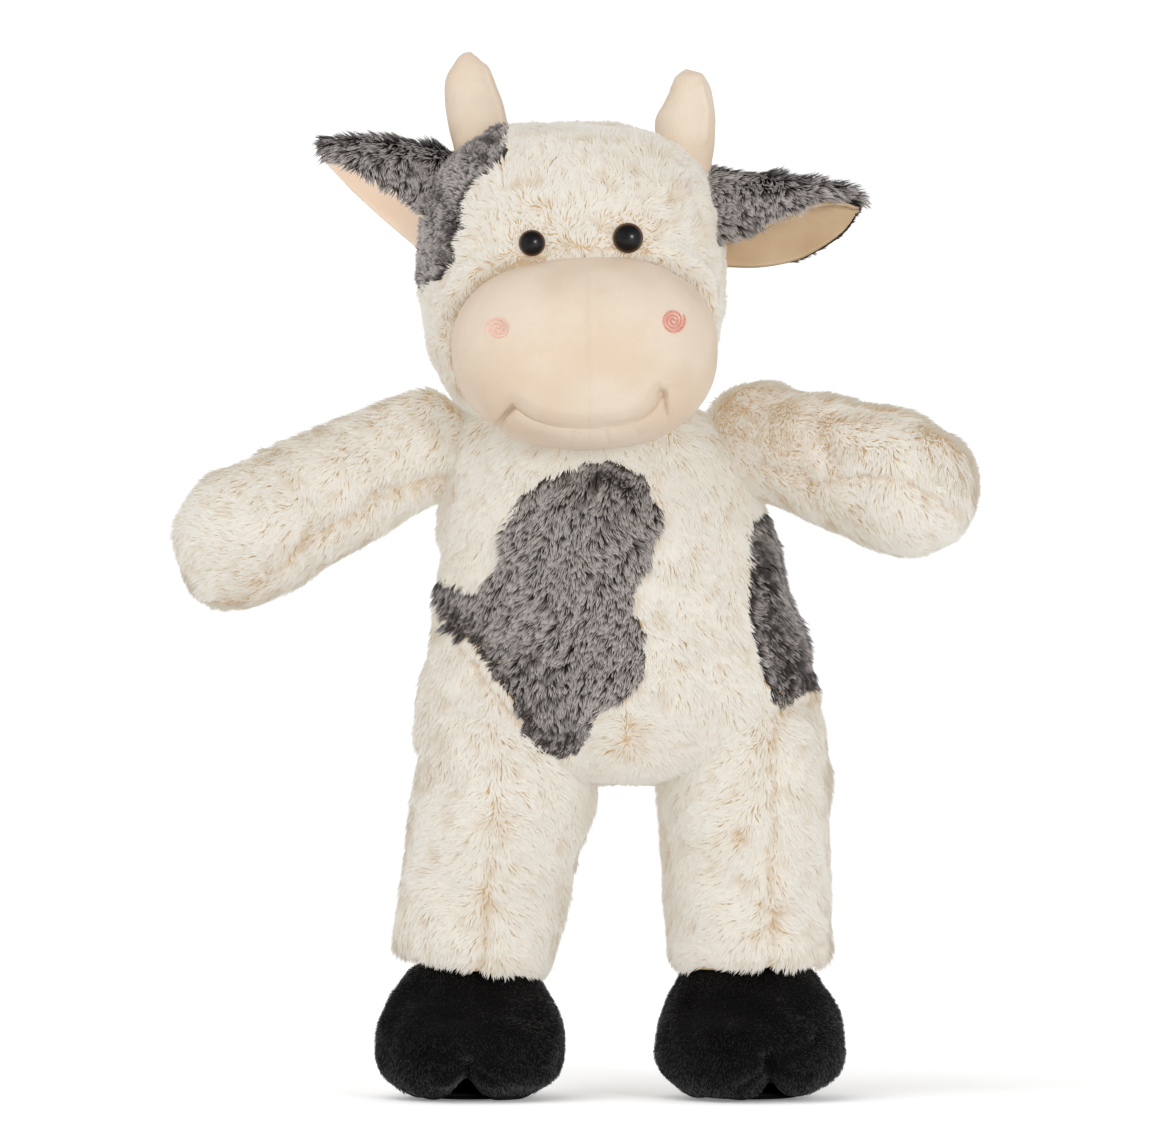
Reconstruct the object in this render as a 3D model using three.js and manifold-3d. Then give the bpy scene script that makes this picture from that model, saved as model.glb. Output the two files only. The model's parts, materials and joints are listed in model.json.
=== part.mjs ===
// A standing plush cow, 400 mm tall: stuffed covers of long pile cloth sewn together, with velour
// muzzle, horns and ear linings and short-pile hooves. Millimetres, +Z up. The toy faces -Y, so its
// own left side lies at +X.
import * as THREE from "three";
import { mergeVertices } from "three/addons/utils/BufferGeometryUtils.js";
import Module from "manifold-3d";

const wasm = await Module();
wasm.setup();

// Cloth: the pile cloth's thickness counts its laid pile
const seamGap = 0.4;
const furWall = 8;
const velourWall = 2.2;
const hoofWall = 3;
const overrun = 30;

// How far each seam lets its piece turn, in degrees
const neckTurn = { low: -25, high: 25 };
const armLift = { low: -20, high: 35 };
const legSwing = { low: -15, high: 35 };
const earFlap = { low: -20, high: 25 };
const tailSwing = { low: 0, high: 70 };

// Hooves: shoes on flat soles, with a cleft at the toe
const hoof = {
  width: 74,
  length: 86,
  height: 48.6,
  topLengthLoss: 12,
  toeForward: 10,
  soleThickness: 2.5,
  mouthRadius: 20,
  cleftRadius: 6,
  cleftHeight: 24,
  outlineShares: [
    [0, 0], [0.66, 0], [0.84, 0.05], [0.95, 0.14], [1, 0.3], [0.98, 0.5], [0.88, 0.72], [0.79, 0.88],
    [0.75, 1], [0, 1],
  ],
};

// Legs: a ball in the hip, then a tube down to the hoof; places are shares of the torso's size
const leg = { drop: 79, hipRadius: 33, ankleRadius: 31.5, hipSink: 10, foreShare: 0.017 };
const legPlaceShares = [
  { side: "right", hip: -0.275, ankle: -0.367 },
  { side: "left", hip: 0.291, ankle: 0.31 },
];
const ankleZ = hoof.height + seamGap;
const hipZ = ankleZ + leg.drop;

// Torso: a pear that leans from the hips towards the neck
const torso = {
  x: 0,
  y: 0,
  bottomZ: hipZ - leg.hipSink,
  width: 158,
  depth: 116,
  height: 153,
  neckShift: -14,
  bellyBulge: 4,
  outlineShares: [
    [0, 0], [0.4, 0.012], [0.7, 0.04], [0.91, 0.095], [1, 0.176], [0.985, 0.26], [0.93, 0.353],
    [0.868, 0.5], [0.812, 0.65], [0.775, 0.77], [0.69, 0.86], [0.56, 0.93], [0.36, 0.98], [0, 1],
  ],
};

// Skull: round about the upright line that the head turns on
const skullDiameter = 120;
const skullShift = -19;
const skullForward = 4;
const neckSink = 22;
const skull = {
  x: torso.x + skullShift,
  y: torso.y - skullForward,
  bottomZ: torso.bottomZ + torso.height - neckSink,
  width: skullDiameter,
  depth: skullDiameter,
  height: 126,
  neckRadius: 17,
  outlineShares: [
    [0, 0], [0.34, 0.014], [0.6, 0.06], [0.79, 0.14], [0.92, 0.255], [0.985, 0.385], [1, 0.52],
    [0.99, 0.64], [0.95, 0.755], [0.86, 0.86], [0.68, 0.945], [0.38, 0.988], [0, 1],
  ],
};

// Muzzle: two cheek panels over a chin panel, in front of the skull
const muzzleForward = 48;
const muzzleShift = 4.6;
const chinDrop = 0.5;
const muzzle = {
  x: skull.x + muzzleShift,
  y: skull.y - muzzleForward,
  bottomZ: skull.bottomZ - chinDrop,
  width: 101,
  depth: 90,
  height: 73,
  fullness: 2.35,
  seamShare: 0.012,
  openingShare: 0.72,
  turnClearance: 1.5,
};
const muzzleZ = muzzle.bottomZ + muzzle.height / 2;
const chin = {
  width: 76,
  height: 34,
  lipShare: 0.295,
  outlineShares: [
    [-0.62, -1], [-0.54, -0.6], [-0.37, -0.17], [-0.2, -0.31], [0.03, -0.37], [0.22, -0.25],
    [0.39, 0], [0.56, -0.5], [0.64, -1],
  ],
};

// Eyes with their lock washers, and the nostrils' embroidery, at shares of the skull and the muzzle
const eye = { diameter: 12, dome: 6, sink: 3, shankRadius: 2, shankLength: 13, hole: 0.3 };
const eyePlaceShares = [
  { side: "right", across: -0.123, up: 0.623 },
  { side: "left", across: 0.175, up: 0.635 },
];
const washer = { radius: 6, thickness: 1.5, room: 1 };
const swirl = { radius: 4.9, threadRadius: 0.7, turns: 2.5, steps: 26, sides: 5, rise: 0.55 };
const swirlPlaceShares = [
  { side: "right", across: -0.328, up: 0.63 },
  { side: "left", across: 0.321, up: 0.664 },
];

// Horns: blunt velour cones that lean out a little, at shares of the skull
const horn = {
  length: 52,
  outlineShares: [[0, 0], [1, 0.02], [1, 0.35], [0.96, 0.55], [0.84, 0.76], [0.6, 0.92], [0.32, 0.985], [0, 1]],
};
const horns = [
  { side: "right", radius: 12.2, outward: 3, bend: 2, share: { across: -0.292, fore: 0, up: 0.79 } },
  { side: "left", radius: 11.2, outward: 5, bend: 2, share: { across: 0.325, fore: 0, up: 0.75 } },
];

// Ears: a fur back and a velour lining, hollowed to the front, at shares of the skull
const ear = {
  length: 58,
  width: 40,
  furThickness: 4,
  liningThickness: 1.8,
  hollow: 7,
  steps: 6,
  rootShare: 0.12,
  widthShares: [[0.78, 0], [1, 0.25], [0.84, 0.5], [0.6, 0.75], [0.38, 0.92], [0.14, 1]],
};
const ears = [
  { side: "right", rise: 23, turn: 14, roll: 20, share: { across: -0.421, fore: 0.017, up: 0.758 } },
  { side: "left", rise: 3, turn: 14, roll: 20, share: { across: 0.458, fore: 0, up: 0.706 } },
];

// Arms: swelling from a ball in the shoulder to a rounded paw, at shares of the torso
const arm = { length: 131, shoulderRadius: 22, pawRadius: 25.5 };
const armPlaceShares = [
  { side: "right", drop: 24, forward: 14, share: { across: -0.484, fore: -0.017, up: 0.83 } },
  { side: "left", drop: 9.5, forward: 40, share: { across: 0.329, fore: -0.026, up: 0.856 } },
];

// Tail: a short stuffed cord with a tuft, hanging down the back at a tilt
const tail = { radius: 5, length: 40, tilt: 13, upShare: 0.42 };
const tuft = { radius: 8.5, length: 22 };
const tailShares = [[0, 0], [0.7, 0.01], [1, 0.06], [1, 0.87], [0.87, 0.935], [0.5, 0.98], [0, 0.995]];
const tuftShares = [[0, 0], [0.3, 0.03], [0.72, 0.2], [1, 0.5], [0.85, 0.8], [0.5, 0.97], [0, 1]];

// Patches of dark pile let into the covers: outlines as shares of their own width and height, and
// corners as shares of the torso or the skull
const bellyPatch = {
  width: 83,
  height: 113,
  cornerShare: { across: -0.437, up: 0.095 },
  outlineShares: [
    [0.675, 1], [0.86, 0.953], [0.93, 0.878], [1, 0.831], [0.975, 0.743], [0.91, 0.659], [0.86, 0.564],
    [0.883, 0.47], [0.915, 0.395], [0.936, 0.3], [0.86, 0.204], [0.74, 0.149], [0.676, 0.081], [0.607, 0],
    [0.524, 0.024], [0.418, 0.101], [0.331, 0.204], [0.253, 0.299], [0.179, 0.402], [0.11, 0.38],
    [0.018, 0.443], [0, 0.593], [0.11, 0.569], [0.2, 0.584], [0.303, 0.65], [0.308, 0.774], [0.382, 0.878],
    [0.483, 0.953],
  ],
};
const sidePatch = {
  width: 62,
  height: 76,
  cornerShare: { fore: -0.319, up: 0.216 },
  outlineShares: [
    [0.02, 0.93], [0, 0.66], [-0.02, 0.42], [-0.01, 0.16], [0.1, 0], [0.3, 0.14], [0.55, 0.02],
    [0.85, 0.2], [1, 0.5], [0.86, 0.82], [0.58, 1], [0.3, 0.98],
  ],
};
const headPatch = {
  width: 66,
  height: 67,
  cornerShare: { across: -0.717, up: 0.468 },
  outlineShares: [
    [0.98, 0.93], [0.92, 0.73], [0.78, 0.6], [0.74, 0.45], [0.69, 0.28], [0.6, 0.12], [0.5, 0],
    [0, -0.02], [0, 1.1], [0.66, 1.1], [0.98, 1.1],
  ],
};

// Mesh fineness, and the steps of a seat that a turning piece sweeps; the hollow and the filling of a cover are coarser than its outside
const bodySides = 20;
const limbSides = 14;
const smallSides = 10;
const arcSteps = 4;
const sweepStep = 7.5;

const finishes = {
  cream: { color: 0xe9e2d2, roughness: 0.95 },
  grey: { color: 0x75706c, roughness: 0.95 },
  velour: { color: 0xead8c4, roughness: 0.85 },
  black: { color: 0x151414, roughness: 0.8 },
  pink: { color: 0xe59a8c, roughness: 0.6 },
  glossBlack: { color: 0x0b0909, roughness: 0.08 },
  plastic: { color: 0xdddddd, roughness: 0.5 },
  fibre: { color: 0xf4f3f0, roughness: 1 },
};

const degree = Math.PI / 180;
const up = new THREE.Vector3(0, 0, 1);

// The place at shares of a form's width, depth and height, from its middle line and its bottom
function placeOn(form, { across = 0, fore = 0, up: rise = 0 }) {
  return new THREE.Vector3(form.x + across * form.width, form.y + fore * form.depth, form.bottomZ + rise * form.height);
}

// A closed geometry as a solid that can be cut and joined
function solid(geometry) {
  const bare = geometry.clone();
  bare.deleteAttribute("normal");
  bare.deleteAttribute("uv");
  const merged = mergeVertices(bare);
  return new wasm.Manifold(
    new wasm.Mesh({
      numProp: 3,
      vertProperties: new Float32Array(merged.attributes.position.array),
      triVerts: new Uint32Array(merged.index.array),
    }),
  );
}

// Moves every vertex of a geometry by a function that changes the point it is given
function shaped(geometry, change) {
  const places = geometry.attributes.position;
  const point = new THREE.Vector3();
  for (let i = 0; i < places.count; i += 1) {
    point.fromBufferAttribute(places, i);
    change(point);
    places.setXYZ(i, point.x, point.y, point.z);
  }
  return geometry;
}

// A copy of a geometry, turned about an axis through a pivot
function turnedAbout(geometry, { pivot, axis }, degrees) {
  const copy = geometry.clone().translate(-pivot.x, -pivot.y, -pivot.z);
  copy.applyQuaternion(new THREE.Quaternion().setFromAxisAngle(axis, degrees * degree));
  return copy.translate(pivot.x, pivot.y, pivot.z);
}

// What a small turn of a geometry passes through
function swept(geometry, hinge, { low, high }) {
  const steps = Math.ceil((high - low) / sweepStep);
  let all = solid(turnedAbout(geometry, hinge, low));
  for (let i = 1; i <= steps; i += 1) {
    all = all.add(solid(turnedAbout(geometry, hinge, low + ((high - low) * i) / steps)));
  }
  return all;
}

// A round form that stands on z = 0, turned from [radius share, height share] points
function turned(shares, radius, height, sides) {
  const outline = shares.map(([r, h]) => new THREE.Vector2(r * radius, h * height));
  return new THREE.LatheGeometry(outline, sides).rotateX(Math.PI / 2);
}

// Reads [value, position] shares at a position, with the slope there
function readShares(shares, position) {
  const found = shares.findIndex(([, place]) => place > position);
  const index = found < 1 ? shares.length - 1 : found;
  const [lowValue, lowPlace] = shares[index - 1];
  const [highValue, highPlace] = shares[index];
  const slope = (highValue - lowValue) / (highPlace - lowPlace);
  return { value: lowValue + slope * (position - lowPlace), slope };
}

// A ball, or a rod between two points
function rod(radius, from, to, sides = smallSides) {
  const along = new THREE.Vector3().subVectors(to, from);
  const made = new THREE.CylinderGeometry(radius, radius, along.length(), sides);
  made.applyQuaternion(new THREE.Quaternion().setFromUnitVectors(new THREE.Vector3(0, 1, 0), along.normalize()));
  const middle = new THREE.Vector3().addVectors(from, to).divideScalar(2);
  return solid(made.translate(middle.x, middle.y, middle.z));
}

function block(low, high) {
  const size = new THREE.Vector3().subVectors(high, low);
  const middle = new THREE.Vector3().addVectors(low, high).divideScalar(2);
  return solid(new THREE.BoxGeometry(size.x, size.y, size.z).translate(middle.x, middle.y, middle.z));
}

// An outline of [width share, height share] points, grown by a distance on every side
function outlineOf({ outlineShares, width, height }, acrossStart, upStart, distance) {
  const points = outlineShares.map(([u, v]) => new THREE.Vector2(acrossStart + u * width, upStart + v * height));
  const way = Math.sign(THREE.ShapeUtils.area(points));
  return points.map((point, i) => {
    const before = points[(i + points.length - 1) % points.length];
    const after = points[(i + 1) % points.length];
    const along = new THREE.Vector2().subVectors(after, before).normalize();
    return new THREE.Vector2(point.x + way * along.y * distance, point.y - way * along.x * distance);
  });
}

// An [x, z] outline pushed through the toy along Y
function prism(points, fromY, toY) {
  const made = new THREE.ExtrudeGeometry(new THREE.Shape(points), { depth: toY - fromY, bevelEnabled: false });
  return solid(made.rotateX(Math.PI / 2).translate(0, toY, 0));
}

// The torso's stuffed form, drawn in by a wall
function torsoForm(wall, sides = bodySides) {
  const height = torso.height - 2 * wall;
  const across = torso.width / 2 - wall;
  const fore = torso.depth / 2 - wall;
  return solid(
    shaped(turned(torso.outlineShares, across, height, sides), (p) => {
      const share = p.z / height;
      p.x += torso.x + torso.neckShift * share * share;
      p.y = torso.y + (p.y * fore) / across - torso.bellyBulge * Math.sin(Math.PI * share);
      p.z += torso.bottomZ + wall;
    }),
  );
}

function skullGeometry(wall, widening = 1) {
  const made = turned(skull.outlineShares, (skull.width / 2 - wall) * widening, skull.height - 2 * wall, bodySides);
  return made.translate(skull.x, skull.y, skull.bottomZ + wall);
}

const skullForm = (wall) => solid(skullGeometry(wall));

// The muzzle's form: an ellipsoid with fuller corners
function muzzleGeometry(wall) {
  return shaped(new THREE.SphereGeometry(1, bodySides, bodySides / 2), (p) => {
    const { fullness } = muzzle;
    const sum = Math.abs(p.x) ** fullness + Math.abs(p.y) ** fullness + Math.abs(p.z) ** fullness;
    p.multiplyScalar(sum ** (-1 / fullness));
    p.x = muzzle.x + p.x * (muzzle.width / 2 - wall);
    p.y = muzzle.y + p.y * (muzzle.depth / 2 - wall);
    p.z = muzzleZ + p.z * (muzzle.height / 2 - wall);
  });
}

const muzzleForm = (wall) => solid(muzzleGeometry(wall));

// A limb's outline, [radius, distance along]: a ball about its pivot that swells to a second,
// rounded end
function limbOutline({ rootRadius, endRadius, length }, wall) {
  const root = rootRadius - wall;
  const end = endRadius - wall;
  const straight = length - rootRadius - endRadius;
  const outline = [];
  for (let i = 0; i <= arcSteps; i += 1) {
    const angle = ((i / arcSteps) * Math.PI) / 2;
    outline.push(new THREE.Vector2(root * Math.sin(angle), -root * Math.cos(angle)));
  }
  for (const share of [1 / 3, 2 / 3]) {
    outline.push(new THREE.Vector2(root + (end - root) * Math.sin((share * Math.PI) / 2), share * straight));
  }
  for (let i = 0; i <= arcSteps; i += 1) {
    const angle = ((i / arcSteps) * Math.PI) / 2;
    outline.push(new THREE.Vector2(end * Math.cos(angle), straight + end * Math.sin(angle)));
  }
  outline[outline.length - 1].x = 0;
  return outline;
}

function limbGeometry(limb, wall) {
  const { pivot, way } = limb;
  const made = new THREE.LatheGeometry(limbOutline(limb, wall), limbSides);
  made.applyQuaternion(new THREE.Quaternion().setFromUnitVectors(new THREE.Vector3(0, 1, 0), way));
  return made.translate(pivot.x, pivot.y, pivot.z);
}

const limbForm = (limb, wall) => solid(limbGeometry(limb, wall));

// The mouth that a limb's cover is stuffed through, where it is sewn to the torso
function limbMouth({ pivot, way, rootRadius }) {
  const inward = pivot.clone().addScaledVector(way, -rootRadius - overrun);
  return rod(rootRadius / 2, pivot, inward);
}

const arms = armPlaceShares.map(({ side, drop, forward, share }) => {
  const level = Math.cos(drop * degree);
  const outward = (side === "left" ? 1 : -1) * level * Math.cos(forward * degree);
  const way = new THREE.Vector3(outward, -level * Math.sin(forward * degree), -Math.sin(drop * degree));
  const axis = way.clone().cross(up).normalize();
  const size = { rootRadius: arm.shoulderRadius, endRadius: arm.pawRadius, length: arm.length };
  return { side, pivot: placeOn(torso, share), way, axis, turn: armLift, ...size };
});

const legs = legPlaceShares.map(({ side, hip, ankle }) => {
  const pivot = placeOn(torso, { across: hip, fore: leg.foreShare }).setZ(hipZ);
  const ankleX = torso.x + ankle * torso.width;
  const way = new THREE.Vector3(ankleX, pivot.y, ankleZ).sub(pivot);
  const length = way.length() + 2 * leg.hipRadius + leg.ankleRadius;
  way.normalize();
  const size = { rootRadius: leg.hipRadius, endRadius: leg.ankleRadius, length };
  const axis = way.clone().cross(new THREE.Vector3(0, -1, 0)).normalize();
  return { side, pivot, way, axis, turn: legSwing, ankleX, ...size };
});

// How far a round form's corners stand outside its flats, so that a seat this much larger clears them
const spare = 1 / Math.cos(Math.PI / bodySides);

// The seat of a turning limb: a round socket, the limb at both limits, and the fan between them
function limbSeat(limb) {
  const { pivot, way, axis, turn, rootRadius } = limb;
  const socket = new THREE.SphereGeometry((rootRadius + seamGap) * spare ** 2, bodySides, bodySides / 2);
  const form = limbGeometry(limb, -seamGap);
  const ahead = limbOutline(limb, -seamGap).slice(arcSteps + 1);
  const edge = [new THREE.Vector2(0, -rootRadius - seamGap), ...ahead.map((p) => new THREE.Vector2(p.y * spare, -p.x))];
  const back = edge.slice(0, -1).reverse();
  const outline = [...edge, ...back.map((p) => new THREE.Vector2(p.x, -p.y))];
  const disc = new THREE.LatheGeometry(outline, 2 * bodySides).rotateX(Math.PI / 2);
  const reach = 2 * limb.length;
  const corners = [turn.low, (turn.low + turn.high) / 2, turn.high].map((angle) => {
    return new THREE.Vector2(reach * Math.cos(angle * degree), reach * Math.sin(angle * degree));
  });
  const settings = { depth: reach, bevelEnabled: false };
  const wedge = new THREE.ExtrudeGeometry(new THREE.Shape([new THREE.Vector2(), ...corners]), settings);
  const stand = new THREE.Matrix4().makeBasis(way, axis.clone().cross(way), axis).setPosition(pivot);
  const fan = solid(disc.applyMatrix4(stand)).intersect(solid(wedge.translate(0, 0, -reach / 2).applyMatrix4(stand)));
  const limits = [turn.low, turn.high].map((angle) => solid(turnedAbout(form, limb, angle)));
  return solid(socket.translate(pivot.x, pivot.y, pivot.z)).add(fan).add(limits[0]).add(limits[1]);
}

// The seats that the head and the limbs press into the torso over their whole turns
const neck = { pivot: new THREE.Vector3(skull.x, skull.y, skull.bottomZ), axis: up };
function seats() {
  const socket = solid(skullGeometry(-seamGap, spare));
  const face = swept(muzzleGeometry(-muzzle.turnClearance), neck, neckTurn);
  return [...arms, ...legs].reduce((all, limb) => all.add(limbSeat(limb)), socket.add(face));
}

const pieces = {};

// Torso: cover, its two dark patches, and the filling
function makeTorso() {
  const taken = seats();
  const skin = torsoForm(0).subtract(torsoForm(furWall, smallSides)).subtract(taken);
  const bellyCorner = placeOn(torso, bellyPatch.cornerShare);
  const belly = (gap) => {
    const outline = outlineOf(bellyPatch, bellyCorner.x, bellyCorner.z, gap);
    return prism(outline, torso.y - torso.depth, torso.y - torso.bellyBulge);
  };
  const sideCorner = placeOn(torso, sidePatch.cornerShare);
  const side = (gap) => {
    const outline = outlineOf(sidePatch, sideCorner.y, sideCorner.z, gap);
    return prism(outline, -torso.width, 0).rotate([0, 0, 90]).translate([torso.x, 0, 0]);
  };
  pieces.belly_patch = skin.intersect(belly(0));
  pieces.side_patch = skin.intersect(side(0));
  pieces.body_cover = skin.subtract(belly(seamGap)).subtract(side(seamGap));
  pieces.body_stuffing = torsoForm(furWall + seamGap, smallSides).subtract(taken);
}

// Where the skull's front surface lies at a place, and the way that it faces
function skullPlace(share) {
  const { x, z } = placeOn(skull, share);
  const { value, slope } = readShares(skull.outlineShares, share.up);
  const radius = (value * skull.width) / 2;
  const depth = Math.sqrt(radius ** 2 - (x - skull.x) ** 2);
  const rise = (-slope * skull.width) / (2 * skull.height);
  const outward = new THREE.Vector3((x - skull.x) / radius, -depth / radius, rise).normalize();
  return { point: new THREE.Vector3(x, skull.y - depth, z), outward };
}

// The same for the muzzle's front
function muzzlePlace(share) {
  const { fullness, width, depth, height } = muzzle;
  const { x, z } = placeOn(muzzle, share);
  const across = 2 * share.across;
  const rise = 2 * share.up - 1;
  const ahead = (1 - Math.abs(across) ** fullness - Math.abs(rise) ** fullness) ** (1 / fullness);
  const steep = (amount, size) => (Math.sign(amount) * Math.abs(amount) ** (fullness - 1)) / size;
  const outward = new THREE.Vector3(steep(across, width), steep(-ahead, depth), steep(rise, height)).normalize();
  return { point: new THREE.Vector3(x, muzzle.y - (ahead * depth) / 2, z), outward };
}

// Turns a geometry that stands on z = 0 so that it stands on a place, raised by a height
function stoodOn(geometry, { point, outward }, raise) {
  geometry.applyQuaternion(new THREE.Quaternion().setFromUnitVectors(up, outward));
  const foot = point.clone().addScaledVector(outward, raise);
  return geometry.translate(foot.x, foot.y, foot.z);
}

function eyeGeometry() {
  const radius = eye.diameter / 2;
  const outline = [
    new THREE.Vector2(0, -eye.shankLength),
    new THREE.Vector2(eye.shankRadius, -eye.shankLength),
    new THREE.Vector2(eye.shankRadius, 0),
    new THREE.Vector2(radius, 0),
  ];
  for (let i = 1; i < arcSteps; i += 1) {
    const angle = ((i / arcSteps) * Math.PI) / 2;
    outline.push(new THREE.Vector2(radius * Math.cos(angle), eye.dome * Math.sin(angle)));
  }
  outline.push(new THREE.Vector2(0, eye.dome));
  return new THREE.LatheGeometry(outline, limbSides).rotateX(Math.PI / 2);
}

function washerGeometry() {
  const bore = eye.shankRadius + eye.hole;
  const corners = [
    [bore, -washer.thickness],
    [washer.radius, -washer.thickness],
    [washer.radius, 0],
    [bore, 0],
    [bore, -washer.thickness],
  ];
  const outline = corners.map(([r, h]) => new THREE.Vector2(r, h));
  return new THREE.LatheGeometry(outline, limbSides).rotateX(Math.PI / 2);
}

// One embroidery thread that winds outwards, lying on z = 0
class SwirlLine extends THREE.Curve {
  getPoint(share, target = new THREE.Vector3()) {
    const angle = share * swirl.turns * 2 * Math.PI;
    const radius = swirl.threadRadius + share * (swirl.radius - 2 * swirl.threadRadius);
    return target.set(radius * Math.cos(angle), radius * Math.sin(angle), 0);
  }
}

function swirlGeometry() {
  const corners = [];
  for (let i = 0; i < swirl.sides; i += 1) {
    const angle = (i / swirl.sides) * 2 * Math.PI;
    corners.push(new THREE.Vector2(swirl.threadRadius * Math.cos(angle), swirl.threadRadius * Math.sin(angle)));
  }
  const settings = { steps: swirl.steps, bevelEnabled: false, extrudePath: new SwirlLine() };
  return new THREE.ExtrudeGeometry(new THREE.Shape(corners), settings);
}

// A round way through the face, as wide as a share of the muzzle, drawn in by a gap
function muzzleThroat(gap) {
  const { x, y, depth, width, height, openingShare } = muzzle;
  const made = new THREE.CylinderGeometry(1, 1, depth, bodySides);
  made.scale((openingShare * width) / 2 - gap, 1, (openingShare * height) / 2 - gap);
  return solid(made.translate(x, y, muzzleZ));
}

// Head: cover with its dark patch, eyes and washers
function makeHead() {
  const atNeck = (height) => neck.pivot.clone().addScaledVector(up, height);
  const hole = rod(skull.neckRadius, atNeck(-overrun), atNeck(overrun));
  let skin = skullForm(0).subtract(skullForm(furWall)).subtract(hole).subtract(muzzleThroat(0));
  let filling = skullForm(furWall + seamGap);
  for (const { side, across, up: rise } of eyePlaceShares) {
    const place = skullPlace({ across, up: rise });
    const at = (height) => place.point.clone().addScaledVector(place.outward, height);
    const base = -eye.sink;
    const lock = base - furWall - washer.room;
    skin = skin.subtract(rod(eye.shankRadius + eye.hole, at(overrun), at(-overrun)));
    skin = skin.subtract(rod(eye.diameter / 2 + eye.hole, at(overrun), at(base - seamGap), limbSides));
    filling = filling.subtract(rod(washer.radius + washer.room, at(0), at(base - eye.shankLength - washer.room)));
    pieces[`eye_${side}`] = solid(stoodOn(eyeGeometry(), place, base));
    pieces[`eye_washer_${side}`] = solid(stoodOn(washerGeometry(), place, lock + eye.sink - washer.room));
  }
  const corner = placeOn(skull, headPatch.cornerShare);
  const dark = (gap) => prism(outlineOf(headPatch, corner.x, corner.z, gap), skull.y - skull.depth, skull.y + skull.depth);
  pieces.head_patch = skin.intersect(dark(0));
  pieces.head_cover = skin.subtract(dark(seamGap));
  const core = muzzleForm(velourWall + seamGap);
  pieces.head_stuffing = filling.add(core.subtract(skullForm(-seamGap)).add(core.intersect(muzzleThroat(seamGap))));
}

// Muzzle: cheek panels and chin panel over the filling, with the nostrils' swirls
function makeMuzzle() {
  const skin = muzzleForm(0).subtract(muzzleForm(velourWall)).subtract(skullForm(-seamGap));
  const reach = muzzle.depth + muzzle.width;
  const lip = placeOn(muzzle, { up: chin.lipShare });
  const under = (gap) => prism(outlineOf(chin, lip.x, lip.z, gap), lip.y - reach, lip.y + reach);
  const upper = skin.subtract(under(seamGap));
  const seamX = muzzle.x + muzzle.seamShare * muzzle.width;
  const half = (fromX, toX) =>
    block(new THREE.Vector3(fromX, lip.y - reach, muzzleZ - reach), new THREE.Vector3(toX, lip.y + reach, muzzleZ + reach));
  pieces.chin_panel = skin.intersect(under(0));
  pieces.muzzle_panel_right = upper.intersect(half(seamX - reach, seamX - seamGap / 2));
  pieces.muzzle_panel_left = upper.intersect(half(seamX + seamGap / 2, seamX + reach));
  for (const { side, across, up: rise } of swirlPlaceShares) {
    pieces[`nostril_swirl_${side}`] = solid(stoodOn(swirlGeometry(), muzzlePlace({ across, up: rise }), swirl.rise));
  }
}

// A horn's form, grown by a gap
function hornGeometry({ side, radius, outward, bend, share }, gap) {
  const { x, y, z } = placeOn(skull, share);
  const sign = side === "left" ? 1 : -1;
  const form = shaped(turned(horn.outlineShares, radius + gap, horn.length + gap, limbSides), (p) => {
    p.x += sign * bend * (p.z / horn.length) ** 2;
  });
  return form.rotateY(sign * outward * degree).translate(x, y, z);
}

function makeHorns() {
  for (const one of horns) {
    pieces[`horn_${one.side}`] = solid(hornGeometry(one, 0)).subtract(skullForm(-seamGap));
  }
}

// One layer of an ear: a leaf that runs out along X, hollowed to the front about its own length
function earLayer(thickness, behind) {
  const leaf = new THREE.BoxGeometry(1, 1, 1, ear.steps, 1, ear.steps);
  return shaped(leaf, (p) => {
    const along = p.x + 1 / 2;
    const across = 2 * p.z;
    const widthShare = readShares(ear.widthShares, along).value;
    const cup = ear.hollow * widthShare * (1 - across * across);
    const outAlong = (along * (1 + ear.rootShare) - ear.rootShare) * ear.length;
    p.set(outAlong, behind + p.y * thickness + cup, (across * widthShare * ear.width) / 2);
  });
}

// Both layers of each ear, cut clear of the skull and the horn over the whole flap
function makeEars() {
  for (const { side, rise, turn, roll, share } of ears) {
    const pivot = placeOn(skull, share);
    const sign = side === "left" ? 1 : -1;
    const stand = new THREE.Matrix4()
      .makeRotationY(-sign * rise * degree)
      .multiply(new THREE.Matrix4().makeRotationZ(-sign * turn * degree))
      .multiply(new THREE.Matrix4().makeRotationX(roll * degree));
    const axis = new THREE.Vector3(0, 0, sign).applyMatrix4(stand);
    const beside = hornGeometry(horns.find((one) => one.side === side), seamGap);
    const hinge = { pivot, axis };
    const taken = swept(skullGeometry(-seamGap), hinge, earFlap).add(swept(beside, hinge, earFlap));
    const layer = (thickness, behind) => {
      const leaf = earLayer(thickness, behind);
      if (sign < 0) leaf.rotateZ(Math.PI).scale(1, -1, 1);
      const facing = sign < 0 ? flipped(leaf) : leaf;
      return solid(facing.applyMatrix4(stand).translate(pivot.x, pivot.y, pivot.z)).subtract(taken);
    };
    pieces[`ear_back_${side}`] = layer(ear.furThickness, (seamGap + ear.furThickness) / 2);
    pieces[`ear_lining_${side}`] = layer(ear.liningThickness, -(seamGap + ear.liningThickness) / 2);
  }
}

// Turns every triangle of a mirrored geometry to face outwards again
function flipped(geometry) {
  const order = geometry.index.array;
  for (let i = 0; i < order.length; i += 3) [order[i + 1], order[i + 2]] = [order[i + 2], order[i + 1]];
  return geometry;
}

function makeArms() {
  for (const limb of arms) {
    const skin = limbForm(limb, 0).subtract(limbForm(limb, furWall));
    pieces[`arm_cover_${limb.side}`] = skin.subtract(limbMouth(limb));
    pieces[`arm_stuffing_${limb.side}`] = limbForm(limb, furWall + seamGap);
  }
}

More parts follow.
